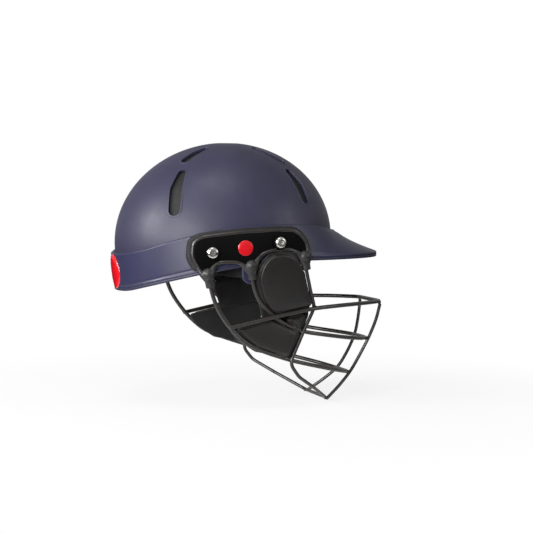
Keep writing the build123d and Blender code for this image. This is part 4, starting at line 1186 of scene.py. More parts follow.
@dataclass
class FaceGuard:
    """Wires of the guard with their welds, the frames of the side plates, and the boots."""

    half_width: float = 96.0
    reach: float = 174.0
    drop: float = 178.0
    plate_length: float = 128.0
    plate_height: float = 52.0
    bar_radius: float = 2.25
    front_radius: float = 1.9
    upright_radius: float = 1.8
    sides: int = 20
    rear_boot: tuple = (47.1, -27.4)
    middle_boot: tuple = (0.7, -19.1)
    front_boot: tuple = (-60.4, -10.4)
    boot_length: float = 20.0
    boot_radius: float = 6.7
    boot_end_radius: float = 5.0
    boot_voxel: float = 0.5
    sleeve_end: float = 2.0
    sleeve_swell: float = 3.4
    sleeve_reach: float = 13.0
    weld_radius: float = 2.0
    weld_long: float = 1.55
    weld_wide: float = 0.85
    frame_shares: tuple = (
        (0.348, -0.75), (0.418, -0.6), (0.486, -0.28), (0.472, 0.04), (0.4, 0.125),
        (0.25, 0.175), (0.08, 0.22), (-0.08, 0.24), (-0.24, 0.25), (-0.4, 0.24), (-0.49, 0.02),
        (-0.528, -0.25), (-0.49, -0.46),
    )
    ear_arch: tuple = ((0.347, -0.71), (0.305, -0.385), (0.108, -0.375), (-0.004, -0.6))
    cheek_arch: tuple = (
        (-0.006, -0.57), (-0.07, -0.25), (-0.18, -0.15), (-0.34, -0.14), (-0.43, -0.22),
        (-0.485, -0.45),
    )
    low_bar: tuple = (
        (1.04, -0.215, 0.365), (1.0, -0.112, 0.511), (0.979, 0.006, 0.618), (0.958, 0.138, 0.67),
        (0.912, 0.29, 0.72), (0.836, 0.437, 0.757), (0.688, 0.592, 0.795), (0.458, 0.736, 0.83),
        (0.215, 0.8, 0.848),
    )
    middle_bar: tuple = (
        (1.096, 0.02, 0.258), (1.042, 0.066, 0.351), (0.98, 0.178, 0.459), (0.92, 0.287, 0.517),
        (0.865, 0.391, 0.553), (0.79, 0.546, 0.579), (0.625, 0.73, 0.61), (0.406, 0.874, 0.629),
        (0.208, 0.929, 0.635),
    )
    front_wire: tuple = (
        (1.042, 0.37, 0.174), (0.968, 0.411, 0.303), (0.893, 0.451, 0.402), (0.912, 0.376, 0.545),
        (0.95, 0.28, 0.738), (0.915, 0.345, 0.823), (0.75, 0.471, 0.902), (0.365, 0.624, 0.997),
    )
    top_bar: tuple = (
        (1.044, -0.121, 0.506), (1.038, 0.126, 0.456), (0.948, 0.436, 0.406),
        (0.802, 0.644, 0.399), (0.583, 0.862, 0.397), (0.36, 1.0, 0.398),
    )
    upright: tuple = (
        (0.335, 1.004, 0.417), (0.302, 0.986, 0.517), (0.234, 0.949, 0.635),
        (0.214, 0.896, 0.736), (0.219, 0.825, 0.851), (0.302, 0.724, 0.938),
        (0.37, 0.632, 1.006),
    )

    def on_plate(self, places: Array) -> Array:
        """Right side points on the frame's drum from side view places."""
        return np.stack([PLATE.x(places[:, 0], 0.0), places[:, 0], places[:, 1]], -1)

    def corners(self, shares: tuple, boot: tuple | None) -> Array:
        """Right side corners of a guard wire, from its boot if it has one."""
        scale = np.array([-self.half_width, -self.reach, -self.drop])
        points = np.array(shares) * scale
        if boot is None:
            return points
        return np.vstack([self.on_plate(np.array([boot])), points])

    def bent(self, corners: Array, bend: float, passes: int, nose: float | None = None) -> Array:
        """Middle line of a wire: bends, then relaxed so that its curve runs smoothly."""
        radii = np.full(len(corners), bend)
        if nose is not None:
            half = len(corners) // 2
            radii[[half - 1, half]] = nose
        return relaxed(rounded_path(corners, radii, False, 1.2), passes)

    def lines(self) -> dict[str, Array]:
        """Middle lines of all the guard's wires; a wire that has two is given its right one."""
        found = {}
        for name, shares, boot in (
            ("low_bar", self.low_bar, self.rear_boot),
            ("middle_bar", self.middle_bar, self.middle_boot),
            ("front_wire", self.front_wire, self.front_boot),
            ("top_bar", self.top_bar, None),
        ):
            half = self.corners(shares, boot)
            whole = np.vstack([half, half[::-1] * np.array([-1, 1, 1])])
            if name == "front_wire":
                found[name] = self.bent(whole, 11.0, 6)
            else:
                found[name] = self.bent(whole, 120.0, 14, 14.0)
        found["upright"] = self.bent(self.corners(self.upright, None), 120.0, 10)
        return found

    def frame_lines(self) -> list[Array]:
        """Middle lines of the right side's frame wire and its two arches."""
        size = np.array([self.plate_length, self.plate_height])
        runs = []
        for shares in (self.frame_shares, self.ear_arch, self.cheek_arch):
            flat = rounded_path(np.array(shares) * size, np.full(len(shares), 16.0), False, 1.0)
            runs.append(self.on_plate(relaxed(flat, 8)))
        return runs

    def weld(self, first: Array, second: Array, reach: float) -> Surface:
        """Bead where two wires cross: an egg along the mean of their runs, slightly rippled.

        The radius at angles a and b is 1 + 0.05 sin(5a) sin(3b), scaled along the mean run,
        across it, and along the line that joins the wires.
        """
        gap = np.linalg.norm(first[:, None] - second[None], axis=-1)
        i, j = np.unravel_index(gap.argmin(), gap.shape)
        run_a = unit(first[min(i + 1, len(first) - 1)] - first[max(i - 1, 0)])
        run_b = unit(second[min(j + 1, len(second) - 1)] - second[max(j - 1, 0)])
        run_b = run_b * (1.0 if run_a @ run_b >= 0 else -1.0)
        along = unit(run_a + run_b)
        joint = second[j] - first[i]
        joint = unit(joint - (joint @ along) * along)
        across = np.cross(along, joint)
        a = whole_turn(24)[None]
        b = np.linspace(0, math.pi, 14)[:, None]
        size = 1 + 0.05 * np.sin(5 * a) * np.sin(3 * b)
        x, y, z = size * np.sin(b) * np.cos(a), size * np.sin(b) * np.sin(a), size * np.cos(b)
        grid = (
            (first[i] + second[j]) / 2 + (reach * self.weld_long * z)[..., None] * along
            + (reach * self.weld_wide * x)[..., None] * across + (reach * y)[..., None] * joint
        )
        return Surface().grid(grid, False, True)

    def boot(self, top: tuple, toward: Array) -> Surface:
        """Rubber boot: a turned profile from a round top over a soft shoulder to a cut end.

        It is kept outside the band's plan.
        """
        start = self.on_plate(np.array([top]))[0]
        along = unit(toward - start)
        arc = np.linspace(0, math.pi / 2, 10)
        big, slim = self.boot_radius, self.boot_end_radius
        s = np.concatenate([big * (1 - np.cos(arc)) - 1.5, np.linspace(5.6, 11.0, 8),
                            np.linspace(12.0, self.boot_length - 0.4, 6), [self.boot_length] * 2])
        fall = (1 - np.cos(np.linspace(0, math.pi, 8))) / 2
        r = np.concatenate([big * np.sin(arc), big + (slim - big) * fall, np.full(6, slim),
                            [slim - 0.35, 0.0]])
        path = start + s[:, None] * along
        grid = tube(path, 1.0, 40)
        grid = path[:, None] + (grid - path[:, None]) * r[:, None, None]
        limit = -BAND.plan_x(grid[..., 1], 0.7)
        above = grid[..., 2] > BAND.lines(np.arctan2(-grid[..., 0], -grid[..., 1]))["rim"] - 4
        grid[..., 0] = np.where(above, np.minimum(grid[..., 0], limit), grid[..., 0])
        return Surface().grid(grid, False, True)

    def sleeves(self, top: tuple, toward: Array) -> Surface:
        """Sleeves of a boot along the frame wires that come out of it.

        The radius at a distance d from the boot's axis is the end's, plus the swell times
        (1 - d / reach)^1.6.
        """
        start = self.on_plate(np.array([top]))[0]
        axis = start + unit(toward - start) * np.linspace(4, 10, 7)[:, None]
        made = Surface()
        for line in self.frame_lines():
            far = np.linalg.norm(line[:, None] - axis[None], axis=-1).min(1)
            near = np.nonzero(far < self.sleeve_reach)[0]
            if len(near) < 4:
                continue
            run = line[near[0] : near[-1] + 1]
            share = far[near[0] : near[-1] + 1].clip(0, self.sleeve_reach) / self.sleeve_reach
            radius = self.sleeve_end + self.sleeve_swell * (1 - share) ** 1.6
            made.grid(capped(tube(run, radius, 28)), False, True)
        return made

    def build(self) -> dict[str, Array]:
        """Make wires, welds, frames and boots.

        Returns:
            The middle lines of the wires.
        """
        lines = self.lines()
        radii = {"front_wire": self.front_radius, "upright": self.upright_radius}
        for name, line in lines.items():
            wire = Surface().grid(capped(tube(line, radii.get(name, self.bar_radius), self.sides)),
                                  False, True)
            node = name
            if name == "upright":
                node = "uprights"
                wire = wire.join(wire.mirrored())
            place(wire.piece(name + "_rod", WIRE_STEEL, 60), "face_guard", "wire_steel", (node,))
        frames = Surface()
        for line in self.frame_lines():
            frames.grid(capped(tube(line, self.front_radius, self.sides)), False, True)
        place(frames.piece("side_frame_rod_right", WIRE_STEEL, 60), "face_guard", "wire_steel",
              ("side_frame_right",))
        place(frames.mirrored().piece("side_frame_rod_left", WIRE_STEEL, 60), "face_guard",
              "wire_steel", ("side_frame_left",))
        self.build_welds(lines)
        boots = Surface()
        for top, shares in ((self.rear_boot, self.low_bar), (self.middle_boot, self.middle_bar),
                            (self.front_boot, self.front_wire)):
            toward = self.corners(shares[:1], None)[0]
            boots.join(self.boot(top, toward)).join(self.sleeves(top, toward))
        right = remeshed(boots.piece("boots_rubber_right", BOOT_RUBBER), self.boot_voxel, 12)
        left = mirror_copy(right, "boots_rubber_left")
        place(right, "face_guard", "rubber_black", ("boots_right",))
        place(left, "face_guard", "rubber_black", ("boots_left",))
        return lines

    def build_welds(self, lines: dict[str, Array]) -> None:
        """Weld beads at every crossing, both sides."""
        right = {name: line[line[:, 0] < 0] for name, line in lines.items()}
        beads = Surface()
        for first, second in (
            ("low_bar", "top_bar"), ("low_bar", "front_wire"), ("low_bar", "upright"),
            ("middle_bar", "top_bar"), ("middle_bar", "front_wire"), ("middle_bar", "upright"),
            ("top_bar", "front_wire"), ("top_bar", "upright"), ("front_wire", "upright"),
        ):
            bead = self.weld(right[first], right[second], self.weld_radius)
            beads.join(bead).join(bead.mirrored())
        place(beads.piece("weld_beads", WIRE_STEEL), "face_guard", "wire_steel")


@dataclass
class CheekPads:
    """Crowned cheek pads and their backing pads inside the guard."""

    upper_plane: tuple = ((-103.4, -5.0, -45.0), (-99.2, -62.0, -30.0), (-91.0, -55.0, -76.0))
    lower_plane: tuple = ((-94.5, 19.5, -91.0), (-88.0, -65.5, -97.0), (-91.0, -48.8, -129.0))
    upper_corners: tuple = (
        (-8.5, -39.0), (-12.0, -24.0), (-21.0, -13.5), (-36.0, -10.8), (-50.0, -14.0),
        (-60.0, -27.0), (-67.5, -52.0), (-73.5, -68.0), (-28.0, -77.5), (-14.5, -58.0),
    )
    front_corners: tuple = ((-37.0, -83.0), (-70.5, -76.5), (-61.0, -95.0))
    lower_corners: tuple = (
        (14.5, -91.5), (-27.0, -82.0), (-60.5, -97.5), (-47.0, -124.0), (-38.0, -123.0),
        (-10.0, -113.0), (6.0, -101.0),
    )
    upper_liner: tuple = ((-12.5, -56.0), (-67.0, -48.5), (-77.0, -77.5), (-21.0, -87.0))
    lower_liner: tuple = (
        (19.0, -90.1), (-78.0, -73.0), (-53.5, -127.0), (-12.0, -117.5), (8.5, -104.0),
    )
    crown: float = 4.4
    rise: float = 0.8
    roll: float = 3.0
    strap_pivot: tuple = (-18.0, -34.0)
    strap_room: float = 17.3
    back: float = 5.5
    liner: float = 6.0
    voxel: float = 0.7
    wire_gap: float = 0.35
    lobe_top: float = -46.0
    band_foot: float = -34.0
    strap_face: float = -99.0

    def plane(self, points: tuple) -> tuple[Array, Array, Array, Array]:
        """Origin, two directions and the outward normal of a plane through three points."""
        a, b, c = (np.array(p) for p in points)
        normal = unit(np.cross(b - a, c - a))
        normal = normal * (1.0 if normal[0] < 0 else -1.0)
        right = unit(b - a)
        return a, right, np.cross(normal, right), normal

    def outline(self, points: tuple, corners: tuple, radius: float) -> Array:
        """Rounded outline on a plane from side view corners."""
        origin, right, up, normal = self.plane(points)
        flat = np.array(corners)
        lean = normal[1] * (flat[:, 0] - origin[1]) + normal[2] * (flat[:, 1] - origin[2])
        world = np.stack([origin[0] - lean / normal[0], flat[:, 0], flat[:, 1]], 1)
        local = np.stack([(world - origin) @ right, (world - origin) @ up], 1)
        ring = rounded_path(local, np.full(len(local), radius), True, 1.3)
        return origin + ring[:, :1] * right + ring[:, 1:] * up

    def turned(
        self, points: tuple, outline: Array, shares: Array, insets: Array, heights: Array
    ) -> Array:
        """Rings from a pad's middle over its face and edge to the middle of its back.

        Each ring is the outline scaled about its centre by a share, then drawn in by an
        inset along its own normal, and set at a height over the plane.
        """
        normal = self.plane(points)[3]
        centre = outline.mean(0)
        ahead = np.roll(outline, -1, 0) - np.roll(outline, 1, 0)
        inward = unit(np.cross(normal, ahead))
        inward *= np.sign(((centre - outline) * inward).sum())
        rings = centre + (outline + inward * insets[:, None, None] - centre) * shares[:, None, None]
        return rings + heights[:, None, None] * normal

    def crown_rings(self, edge: float) -> tuple[Array, Array, Array]:
        """Shares, insets and heights of a cheek pad's crown.

        The rings run over the face, which rises by a parabola to its middle, down a quarter
        circle roll, and back under the face to its middle.

        Args:
            edge: How far the crown stays inside the pad's outline.

        Returns:
            Three arrays with one value to a ring.
        """
        roll = np.linspace(0, math.pi / 2, 9)
        face = np.linspace(0, 0.97, 14)
        shares = np.concatenate([face, np.ones(9), np.linspace(1, 0, 6)])
        insets = edge + np.concatenate(
            [np.full(14, self.roll), self.roll * (1 - np.sin(roll)), np.zeros(6)]
        )
        heights = np.concatenate(
            [self.crown + self.rise * (1 - face**2), self.crown - self.roll * (1 - np.cos(roll)),
             np.full(6, -0.5)]
        )
        return shares, insets, heights

    def liner_rings(self) -> tuple[Array, Array, Array]:
        """Shares, insets and heights of a backing pad's rings."""
        arc = np.linspace(0, math.pi, 13)
        face = np.linspace(0, 0.9, 6)
        shares = np.concatenate([face, np.ones(13), face[::-1]])
        insets = np.concatenate([np.full(6, 2.5), 2.5 * (1 - np.sin(arc)), np.full(6, 2.5)])
        middle = -self.back - 0.3 - self.liner / 2
        heights = middle + self.liner / 2 * np.concatenate([np.ones(6), np.cos(arc), -np.ones(6)])
        return shares, insets, heights

    @staticmethod
    def clear(points: Array, lines: list[tuple[Array, float]]) -> Array:
        """Points pushed straight away from each wire until they are its radius off."""
        flat = points.reshape(-1, 3).copy()
        for line, radius in lines:
            for start in range(0, len(flat), 4000):
                part = flat[start : start + 4000]
                gap = part[:, None] - line[None]
                far = np.linalg.norm(gap, axis=-1)
                near = far.argmin(1)
                rows = np.arange(len(part))
                least = far[rows, near]
                push = np.maximum(radius - least, 0)
                part += unit(gap[rows, near]) * push[:, None]
        return flat.reshape(points.shape)

    def outside_shell(self, points: Array) -> Array:
        """Points kept off the temple lobe, the band and the room that the strap swings in."""
        x, y, z = points[..., 0], points[..., 1], points[..., 2]
        x = np.where(z > self.lobe_top, np.minimum(x, -BAND.plan_x(y, -2.2)), x)
        x = np.where(z > self.band_foot, np.minimum(x, -BAND.plan_x(y, 0.8)), x)
        far = np.hypot(y - self.strap_pivot[0], z - self.strap_pivot[1])
        x = np.where(far < self.strap_room, np.minimum(x, self.strap_face), x)
        return np.stack([x, y, z], -1)

    def build(self, guard: FaceGuard, wires: dict[str, Array]) -> None:
        """Make the pads, blow up their faces, and mirror them.

        Args:
            guard: The face guard, for its boots and frames.
            wires: Middle lines of its wires.
        """
        keep = [(wires[n], guard.bar_radius + self.wire_gap) for n in ("low_bar", "middle_bar", "top_bar")]
        keep.append((wires["front_wire"], guard.front_radius + self.wire_gap))
        keep += [(line, guard.front_radius + self.wire_gap) for line in guard.frame_lines()]
        for top, shares in ((guard.middle_boot, guard.middle_bar), (guard.front_boot, guard.front_wire)):
            ends = np.vstack([guard.on_plate(np.array([top])), guard.corners(shares[:1], None)])
            axis = resample(ends[:1] + (ends[1:] - ends[:1]) * np.array([[0], [0.5]]), 0.8)
            keep.append((axis, 6.0))
        for name, points, corners, radius, edge in (
            ("upper_cheek_pad", self.upper_plane, self.upper_corners, 22.0, 0.9),
            ("front_cheek_pad", self.lower_plane, self.front_corners, 5.0, 2.3),
            ("lower_cheek_pad", self.lower_plane, self.lower_corners, 9.0, 2.0),
        ):
            rings = self.turned(
                points, self.outline(points, corners, radius), *self.crown_rings(edge)
            )
            crown = Surface().grid(self.outside_shell(self.clear(rings, keep)), False, True)
            piece = soft_copy(name + "_right", name + "_skin_right", PAD_SKIN, self.voxel, 7, crown)
            self.finish_pad(name, piece, points, self.crown - 0.7, "pad_skin", 1.0)
        for name, points, corners in (
            ("upper_cheek_liner", self.upper_plane, self.upper_liner),
            ("lower_cheek_liner", self.lower_plane, self.lower_liner),
        ):
            outline = self.outline(points, corners, 6.0)
            shares, insets, heights = self.liner_rings()
            rings = self.clear(self.turned(points, outline, shares, insets, heights), keep)
            surface = Surface().grid(rings, False, True)
            piece = surface.piece(name + "_skin_right", TOWELLING)
            self.finish_pad(name, piece, points, self.back, "towelling_black", 0.8)

    def finish_pad(
        self, name: str, piece: bpy.types.Object, points: tuple, least: float, slot: str, cap: float
    ) -> None:
        """Blow up a pad's face and place it and its mirror image.

        Args:
            name: Node that the right and left pads stand for, without the side.
            piece: The right pad.
            points: Three points of the pad's plane.
            least: Height over the plane from which on the skin is free to swell.
            slot: The record's slot.
            cap: Furthest that the skin moves, in millimetres.
        """
        origin, _, _, normal = self.plane(points)
        height = (coordinates(piece.data) / MM - origin) @ normal
        swell(piece, np.nonzero(height < least)[0], 4.0, cap)
        other = mirror_copy(piece, name + "_skin_left")
        for side, made in (("right", piece), ("left", other)):
            place(made, "face_guard", slot, (f"{name}_{side}",))


@dataclass
class Interior:
    """Mesh, bead foam and comfort pads inside the dome."""

    foam_out: float = 4.0
    foam_in: float = 16.3
    foam_skirt: float = 17.0
    foam_below: float = 60.0
    channel_depth: float = 3.0
    nut_places: tuple = ((41.4, -9.8), (-31.3, 0.1))
    dent_reach: float = 16.0
    dent_depth: float = 7.0
    pad_gap: float = 0.15
    pad_depth: float = 7.0
    crown_pad_radius: float = 41.0

    def layer(self, azimuth: Array, height: Array, inset: Array) -> Array:
        """Points of the dome's frame at an azimuth, a height and an inset.

        Above the widest ring they lie on the ellipsoid drawn in by the inset, below it on
        the elliptic wall under it.
        """
        axes = DOME.half_axes(inset)
        rise = np.sqrt(np.maximum(1 - (np.maximum(height, 0) / axes[2]) ** 2, 0))
        reach = rise / np.hypot(np.sin(azimuth) / axes[0], np.cos(azimuth) / axes[1])
        return np.stack([reach * np.sin(azimuth), -reach * np.cos(azimuth), height], -1)

    def foam(self) -> Surface:
        """Bead foam liner: outer and inner faces joined by a rounded foot.

        The inner face has channels where |sin| of three times the azimuth is small, and the
        outer face has hollows round the nuts.
        """
        azimuth = whole_turn(240)[None]
        skirt = np.linspace(-self.foam_skirt, 0, 8)[:-1] / self.foam_below
        rise = np.concatenate([skirt, np.sin(np.linspace(0, 1, 40) * math.pi / 2)])[:, None]
        outer = self.wall(azimuth, rise, self.foam_out + self.nut_dent(azimuth, rise))
        channel = np.exp(-((np.sin(azimuth * 3) / 0.16) ** 2)) * (rise > -0.1)
        channel = channel * np.clip(1 - rise, 0, 1) ** 0.5
        inner = self.wall(azimuth, rise, self.foam_in - self.channel_depth * channel)
        return Surface().grid(DOME.world(np.concatenate([outer[::-1], inner])), False, True)

    def wall(self, azimuth: Array, rise: Array, inset: Array) -> Array:
        """Face of the foam: rise is a share of the height above the ring, of foam_below under it."""
        top = DOME.height - inset
        height = np.where(rise > 0, rise * top, rise * self.foam_below)
        return self.layer(azimuth * np.ones_like(height), height, inset * np.ones_like(height))

    def nut_dent(self, azimuth: Array, rise: Array) -> Array:
        """Extra inset round each nut: a bump of a cosine that ends dent_reach from it."""
        dent = np.zeros_like(azimuth * rise)
        for side in (-1, 1):
            for y, z in self.nut_places:
                x = side * DOME.half_width * math.sqrt(1 - (y / DOME.half_length) ** 2)
                spot = np.array([x, y, z + y * math.tan(math.radians(DOME.tilt))])
                face = self.wall(azimuth, rise, np.zeros_like(dent))
                far = np.linalg.norm(face - spot, axis=-1) / self.dent_reach
                bump = (1 + np.cos(math.pi * np.minimum(far, 1))) / 2
                dent += self.dent_depth * np.where(far < 1, bump, 0)
        return dent

    def pillow(
        self, at: Callable[[Array, Array], tuple[Array, Array]], rows: int, cols: int,
        seams: tuple[float, ...], bulge: float
    ) -> tuple[Surface, Array]:
        """Pad between the foam and the head, sewn round its edge and along its seams.

        The square (u, v) is pressed to a rounded one. The pad's depth is the bulge times
        (1 - u^6)(1 - v^6) to the power 0.4, less a narrow groove at every seam.

        Args:
            at: Gives azimuth and height of the pad's points from u and v.
            rows: Points along u.
            cols: Points along v.
            seams: Values of u where channels are sewn.
            bulge: Greatest depth in millimetres.

        Returns:
            The surface and the points of its back.
        """
        u, v = np.meshgrid(np.linspace(-1, 1, rows), np.linspace(-1, 1, cols), indexing="ij")
        depth = (np.maximum((1 - u**6) * (1 - v**6), 0)) ** 0.4
        for seam in seams:
            depth = depth * (1 - 0.55 * np.exp(-(((u - seam) / 0.035) ** 2)))
        azimuth, height = at(u * np.sqrt(1 - 0.1 * v**2), v * np.sqrt(1 - 0.1 * u**2))
        back = self.layer(azimuth, height, np.full_like(u, self.foam_in + self.pad_gap))
        front = self.layer(azimuth, height, self.foam_in + self.pad_gap + bulge * depth)
        surface = Surface().grid(DOME.world(back)).grid(DOME.world(front))
        return surface, DOME.world(back)

    def comfort_pads(self) -> None:
        """Sweatband, rear pad, two temple pads and the crown pad."""
        quarter = math.pi / 2

        def front(u: Array, v: Array) -> tuple[Array, Array]:
            return np.arcsin(u * 0.62), 5.5 + v * 20.0

        def rear(u: Array, v: Array) -> tuple[Array, Array]:
            return math.pi + np.arcsin(u * 0.54), 3.5 + v * 18.0

        def temple(u: Array, v: Array) -> tuple[Array, Array]:
            return -quarter + u * 0.36, 1.5 + v * 16.0

        pads = (
            ("front_sweatband", front, 120, 40, (-0.6, -0.2, 0.2, 0.6)),
            ("rear_comfort_pad", rear, 100, 36, (-0.45, 0.0, 0.45)),
            ("side_comfort_pad_right", temple, 60, 36, (-0.35, 0.35)),
        )
        for name, at, rows, cols, seams in pads:
            surface, back = self.pillow(at, rows, cols, seams, self.pad_depth)
            self.finish_pad(name, surface, back, name.startswith("side"))
        self.crown_pad()

    def finish_pad(self, name: str, surface: Surface, back: Array, twin: bool) -> None:
        """Blow up a pad, its back pinned, and place it, and its twin if it has one."""
        piece = surface.piece(name + "_cover", TOWELLING)
        points, flat = coordinates(piece.data) / MM, back.reshape(-1, 3)
        near = np.concatenate(
            [np.linalg.norm(points[k : k + 500, None] - flat[None], axis=-1).min(1)
             for k in range(0, len(points), 500)]
        )
        swell(piece, np.nonzero(near < 0.4)[0], 3.0, 0.7, 14)
        made = [(name, piece)]
        if twin:
            left = name.replace("right", "left")
            made.append((left, mirror_copy(piece, left + "_cover")))
        for node, pad in made:
            place(pad, "helmet", "towelling_black", (node,))

    def crown_pad(self) -> None:
        """Round crown pad, quilted in sectors: depth is a dome less grooves at six spokes."""
        ring = np.linspace(0, 1, 34)[:, None]
        angle = whole_turn(120)[None]
        x = self.crown_pad_radius * ring * np.cos(angle)
        y = self.crown_pad_radius * ring * np.sin(angle)
        depth = np.maximum(1 - ring**8, 0) ** 0.45 * np.ones_like(angle)
        spokes = np.exp(-((np.sin(angle * 3) * ring / 0.07) ** 2)) * np.clip((ring - 0.3) * 6, 0, 1)
        hub = np.exp(-(((ring - 0.3) / 0.035) ** 2))
        depth = depth * (1 - 0.5 * np.maximum(spokes, hub))

        def at(inset: Array) -> Array:
            axes = DOME.half_axes(inset)
            z = axes[2] * np.sqrt(1 - (x / axes[0]) ** 2 - (y / axes[1]) ** 2)
            return DOME.world(np.stack([x, y, z], -1))

        back = at(np.full_like(x, self.foam_in + self.pad_gap))
        front = at(self.foam_in + self.pad_gap + self.pad_depth * depth)
        surface = Surface().grid(np.concatenate([back, front[::-1]]), False, True)
        self.finish_pad("crown_pad", surface, back, False)

    def build(self) -> None:
        """Make the inside."""
        dress("vent_mesh", VENT_MESH)
        foam = place(self.foam().piece("bead_foam", BEAD_FOAM), "helmet", "foam_charcoal",
                     ("foam_liner",))
        self.comfort_pads()


@dataclass
class ChinStrap:
    """Strap, buckle, slider and chin cup, folded back at rest. Sizes are in millimetres."""

    pivot: tuple = (-18.0, -34.0)
    stow: float = 8.0
    width: float = 15.0
    thickness: float = 1.6
    eye: float = 97.2
    route: tuple = ((0.0, 7.0), (21.0, 27.0), (26.0, 58.0), (45.0, 90.0), (72.0, 101.0))
    bends: tuple = (8.0, 30.0, 40.0, 30.0, 30.0)
    buckle_share: float = 0.42
    buckle_size: tuple = (23.8, 6.3, 20.8)
    buckle_waist: float = 0.14
    buckle_room: float = 5.5
    slider_size: tuple = (9.0, 5.0, 20.8)
    cup_half_width: float = 29.5
    cup_half_height: float = 12.6

    def world(self, points: Array) -> Array:
        """Points of the strap's plane (across, back, up) in the frame."""
        lean = math.radians(self.stow)
        back, up = points[..., 1], points[..., 2]
        return np.stack(
            [points[..., 0],
             self.pivot[0] + back * math.cos(lean) - up * math.sin(lean),
             self.pivot[1] + back * math.sin(lean) + up * math.cos(lean)], -1
        )

    def middle(self) -> Array:
        """Middle line of the webbing in its plane, from the right eye to the left one."""
        half = [(-self.eye, -self.width / 2)] + [(x - self.eye, y) for x, y in self.route]
        half = np.array(half)
        whole = np.vstack([half, half[::-1] * np.array([-1, 1])])
        bends = np.array([0.0, *self.bends])
        radii = np.concatenate([bends, bends[::-1]])
        return rounded_path(whole, radii, False, 1.0)

    def ribbon(self, first: float, last: float) -> Surface:
        """Webbing between two shares of its length: a flat lens carried along its line.

        Its width narrows as a circle towards the two eyes, and its edges are rounded.
        """
        line = self.middle()
        count = len(line)
        ahead = unit(np.gradient(line, axis=0))
        side = np.stack([-ahead[:, 1], ahead[:, 0]], 1)
        along = np.arange(count, dtype=float)
        half = self.width / 2
        end = np.minimum(along, along[::-1])
        width = np.where(end < half, np.sqrt(np.maximum(half**2 - (half - end) ** 2, 0.01)), half)
        cut = slice(int(first * count), max(int(last * count), int(first * count) + 2))
        line, side, width, along = line[cut], side[cut], width[cut], along[cut]
        a = np.linspace(0, 2 * math.pi, 25)[None]
        up = np.sign(np.cos(a)) * np.abs(np.cos(a)) ** 0.35 * width[:, None]
        out = np.sign(np.sin(a)) * np.abs(np.sin(a)) ** 0.5 * self.thickness / 2
        x = line[:, :1] + side[:, :1] * out
        y = line[:, 1:] + side[:, 1:] * out
        uv = np.stack([up * MM, np.broadcast_to(along[:, None], up.shape) * MM], -1)
        grid = self.world(np.stack([x, y, up], -1))
        uv = np.concatenate([uv[:1], uv, uv[-1:]])
        return Surface().grid(capped(grid), False, False, uv)

    def block(
        self, centre: Array, along: Array, size: tuple[float, float, float], waist: float
    ) -> Surface:
        """Moulded block: a superellipsoid of power 5 with a waist of two cosine dents.

        Args:
            centre: Middle in the strap's plane.
            along: Direction of the webbing there.
            size: Length, thickness and width.
            waist: Depth of the waist in the width, as a share.

        Returns:
            The surface.
        """
        a = whole_turn(64)[None]
        b = np.linspace(-math.pi / 2, math.pi / 2, 40)[:, None]

        def power(value: Array, exponent: float) -> Array:
            return np.sign(value) * np.abs(value) ** exponent

        length = power(np.sin(b), 0.35) * np.ones_like(a)
        ring = power(np.cos(b), 0.35)
        thick = ring * power(np.cos(a), 0.35)
        wide = ring * power(np.sin(a), 0.4) * (1 - waist * np.cos(length * math.pi / 2) ** 2)
        thick = thick * (1 - 0.12 * np.cos(length * math.pi * 2.5) * (np.abs(length) < 0.8))
        side = np.array([-along[1], along[0]])
        flat = (
            centre + (size[0] / 2 * length)[..., None] * along
            + (size[1] / 2 * thick)[..., None] * side
        )
        up = size[2] / 2 * wide
        return Surface().grid(self.world(np.concatenate([flat, up[..., None]], -1)), False, True)

    def run(self, side: float) -> tuple[Array, Array]:
        """Middle and direction of the buckle's (-1) or the slider's (1) straight run."""
        a = np.array(self.route[2]) - np.array([self.eye, 0])
        b = np.array(self.route[3]) - np.array([self.eye, 0])
        point, along = a + (b - a) * self.buckle_share, unit(b - a)
        flip = np.array([-side, 1.0])
        return point * flip, along * flip

    def cup(self) -> Surface:
        """Chin cup: a moulded pad with a hollow front and three ribs across."""
        u, v = np.meshgrid(np.linspace(-1, 1, 80), np.linspace(-1, 1, 36), indexing="ij")
        depth = np.maximum((1 - u**8) * (1 - v**8), 0) ** 0.4
        ribs = 0.12 * np.cos(v * math.pi * 3) * (np.abs(u) < 0.85)
        x = self.cup_half_width * u * np.sqrt(1 - 0.14 * v**2)
        up = self.cup_half_height * v * np.sqrt(1 - 0.14 * u**2)
        back = self.route[-1][1] - self.thickness / 2 - 0.05
        outer = np.stack([x, np.full_like(x, back) - 2.2 + 2.1 * depth, up], -1)
        inner = np.stack([x, back - 2.2 - (2.0 + ribs) * depth, up], -1)
        outer[..., 1] = np.where(depth > 0, outer[..., 1], back - 2.2)
        return Surface().grid(self.world(outer)).grid(self.world(inner))

    def build(self) -> None:
        """Make the strap's pieces."""
        line = self.middle()
        total = len(line)
        centre, along = self.run(-1)
        at = int(np.linalg.norm(line - centre, axis=1).argmin()) / total
        gap = self.buckle_room / total
        place(self.ribbon(0.0, at - gap).piece("webbing_short", WEBBING), "chin_strap",
              "webbing_black", ("chin_strap_short",))
        place(self.ribbon(at + gap, 1.0).piece("webbing_long", WEBBING), "chin_strap",
              "webbing_black", ("chin_strap_long",))
        buckle = self.block(centre, along, self.buckle_size, self.buckle_waist)
        place(buckle.piece("buckle_body", BUCKLE_ACETAL), "chin_strap", "buckle_black",
              ("buckle_socket", "buckle_plug"))
        centre, along = self.run(1)
        slider = self.block(centre, along, self.slider_size, 0.0)
        place(slider.piece("slider_body", BUCKLE_ACETAL), "chin_strap", "buckle_black",
              ("strap_slider",))
        cup = place(self.cup().piece("chin_cup_pad", TOWELLING), "chin_strap", "rubber_black",
                    ("chin_cup",))


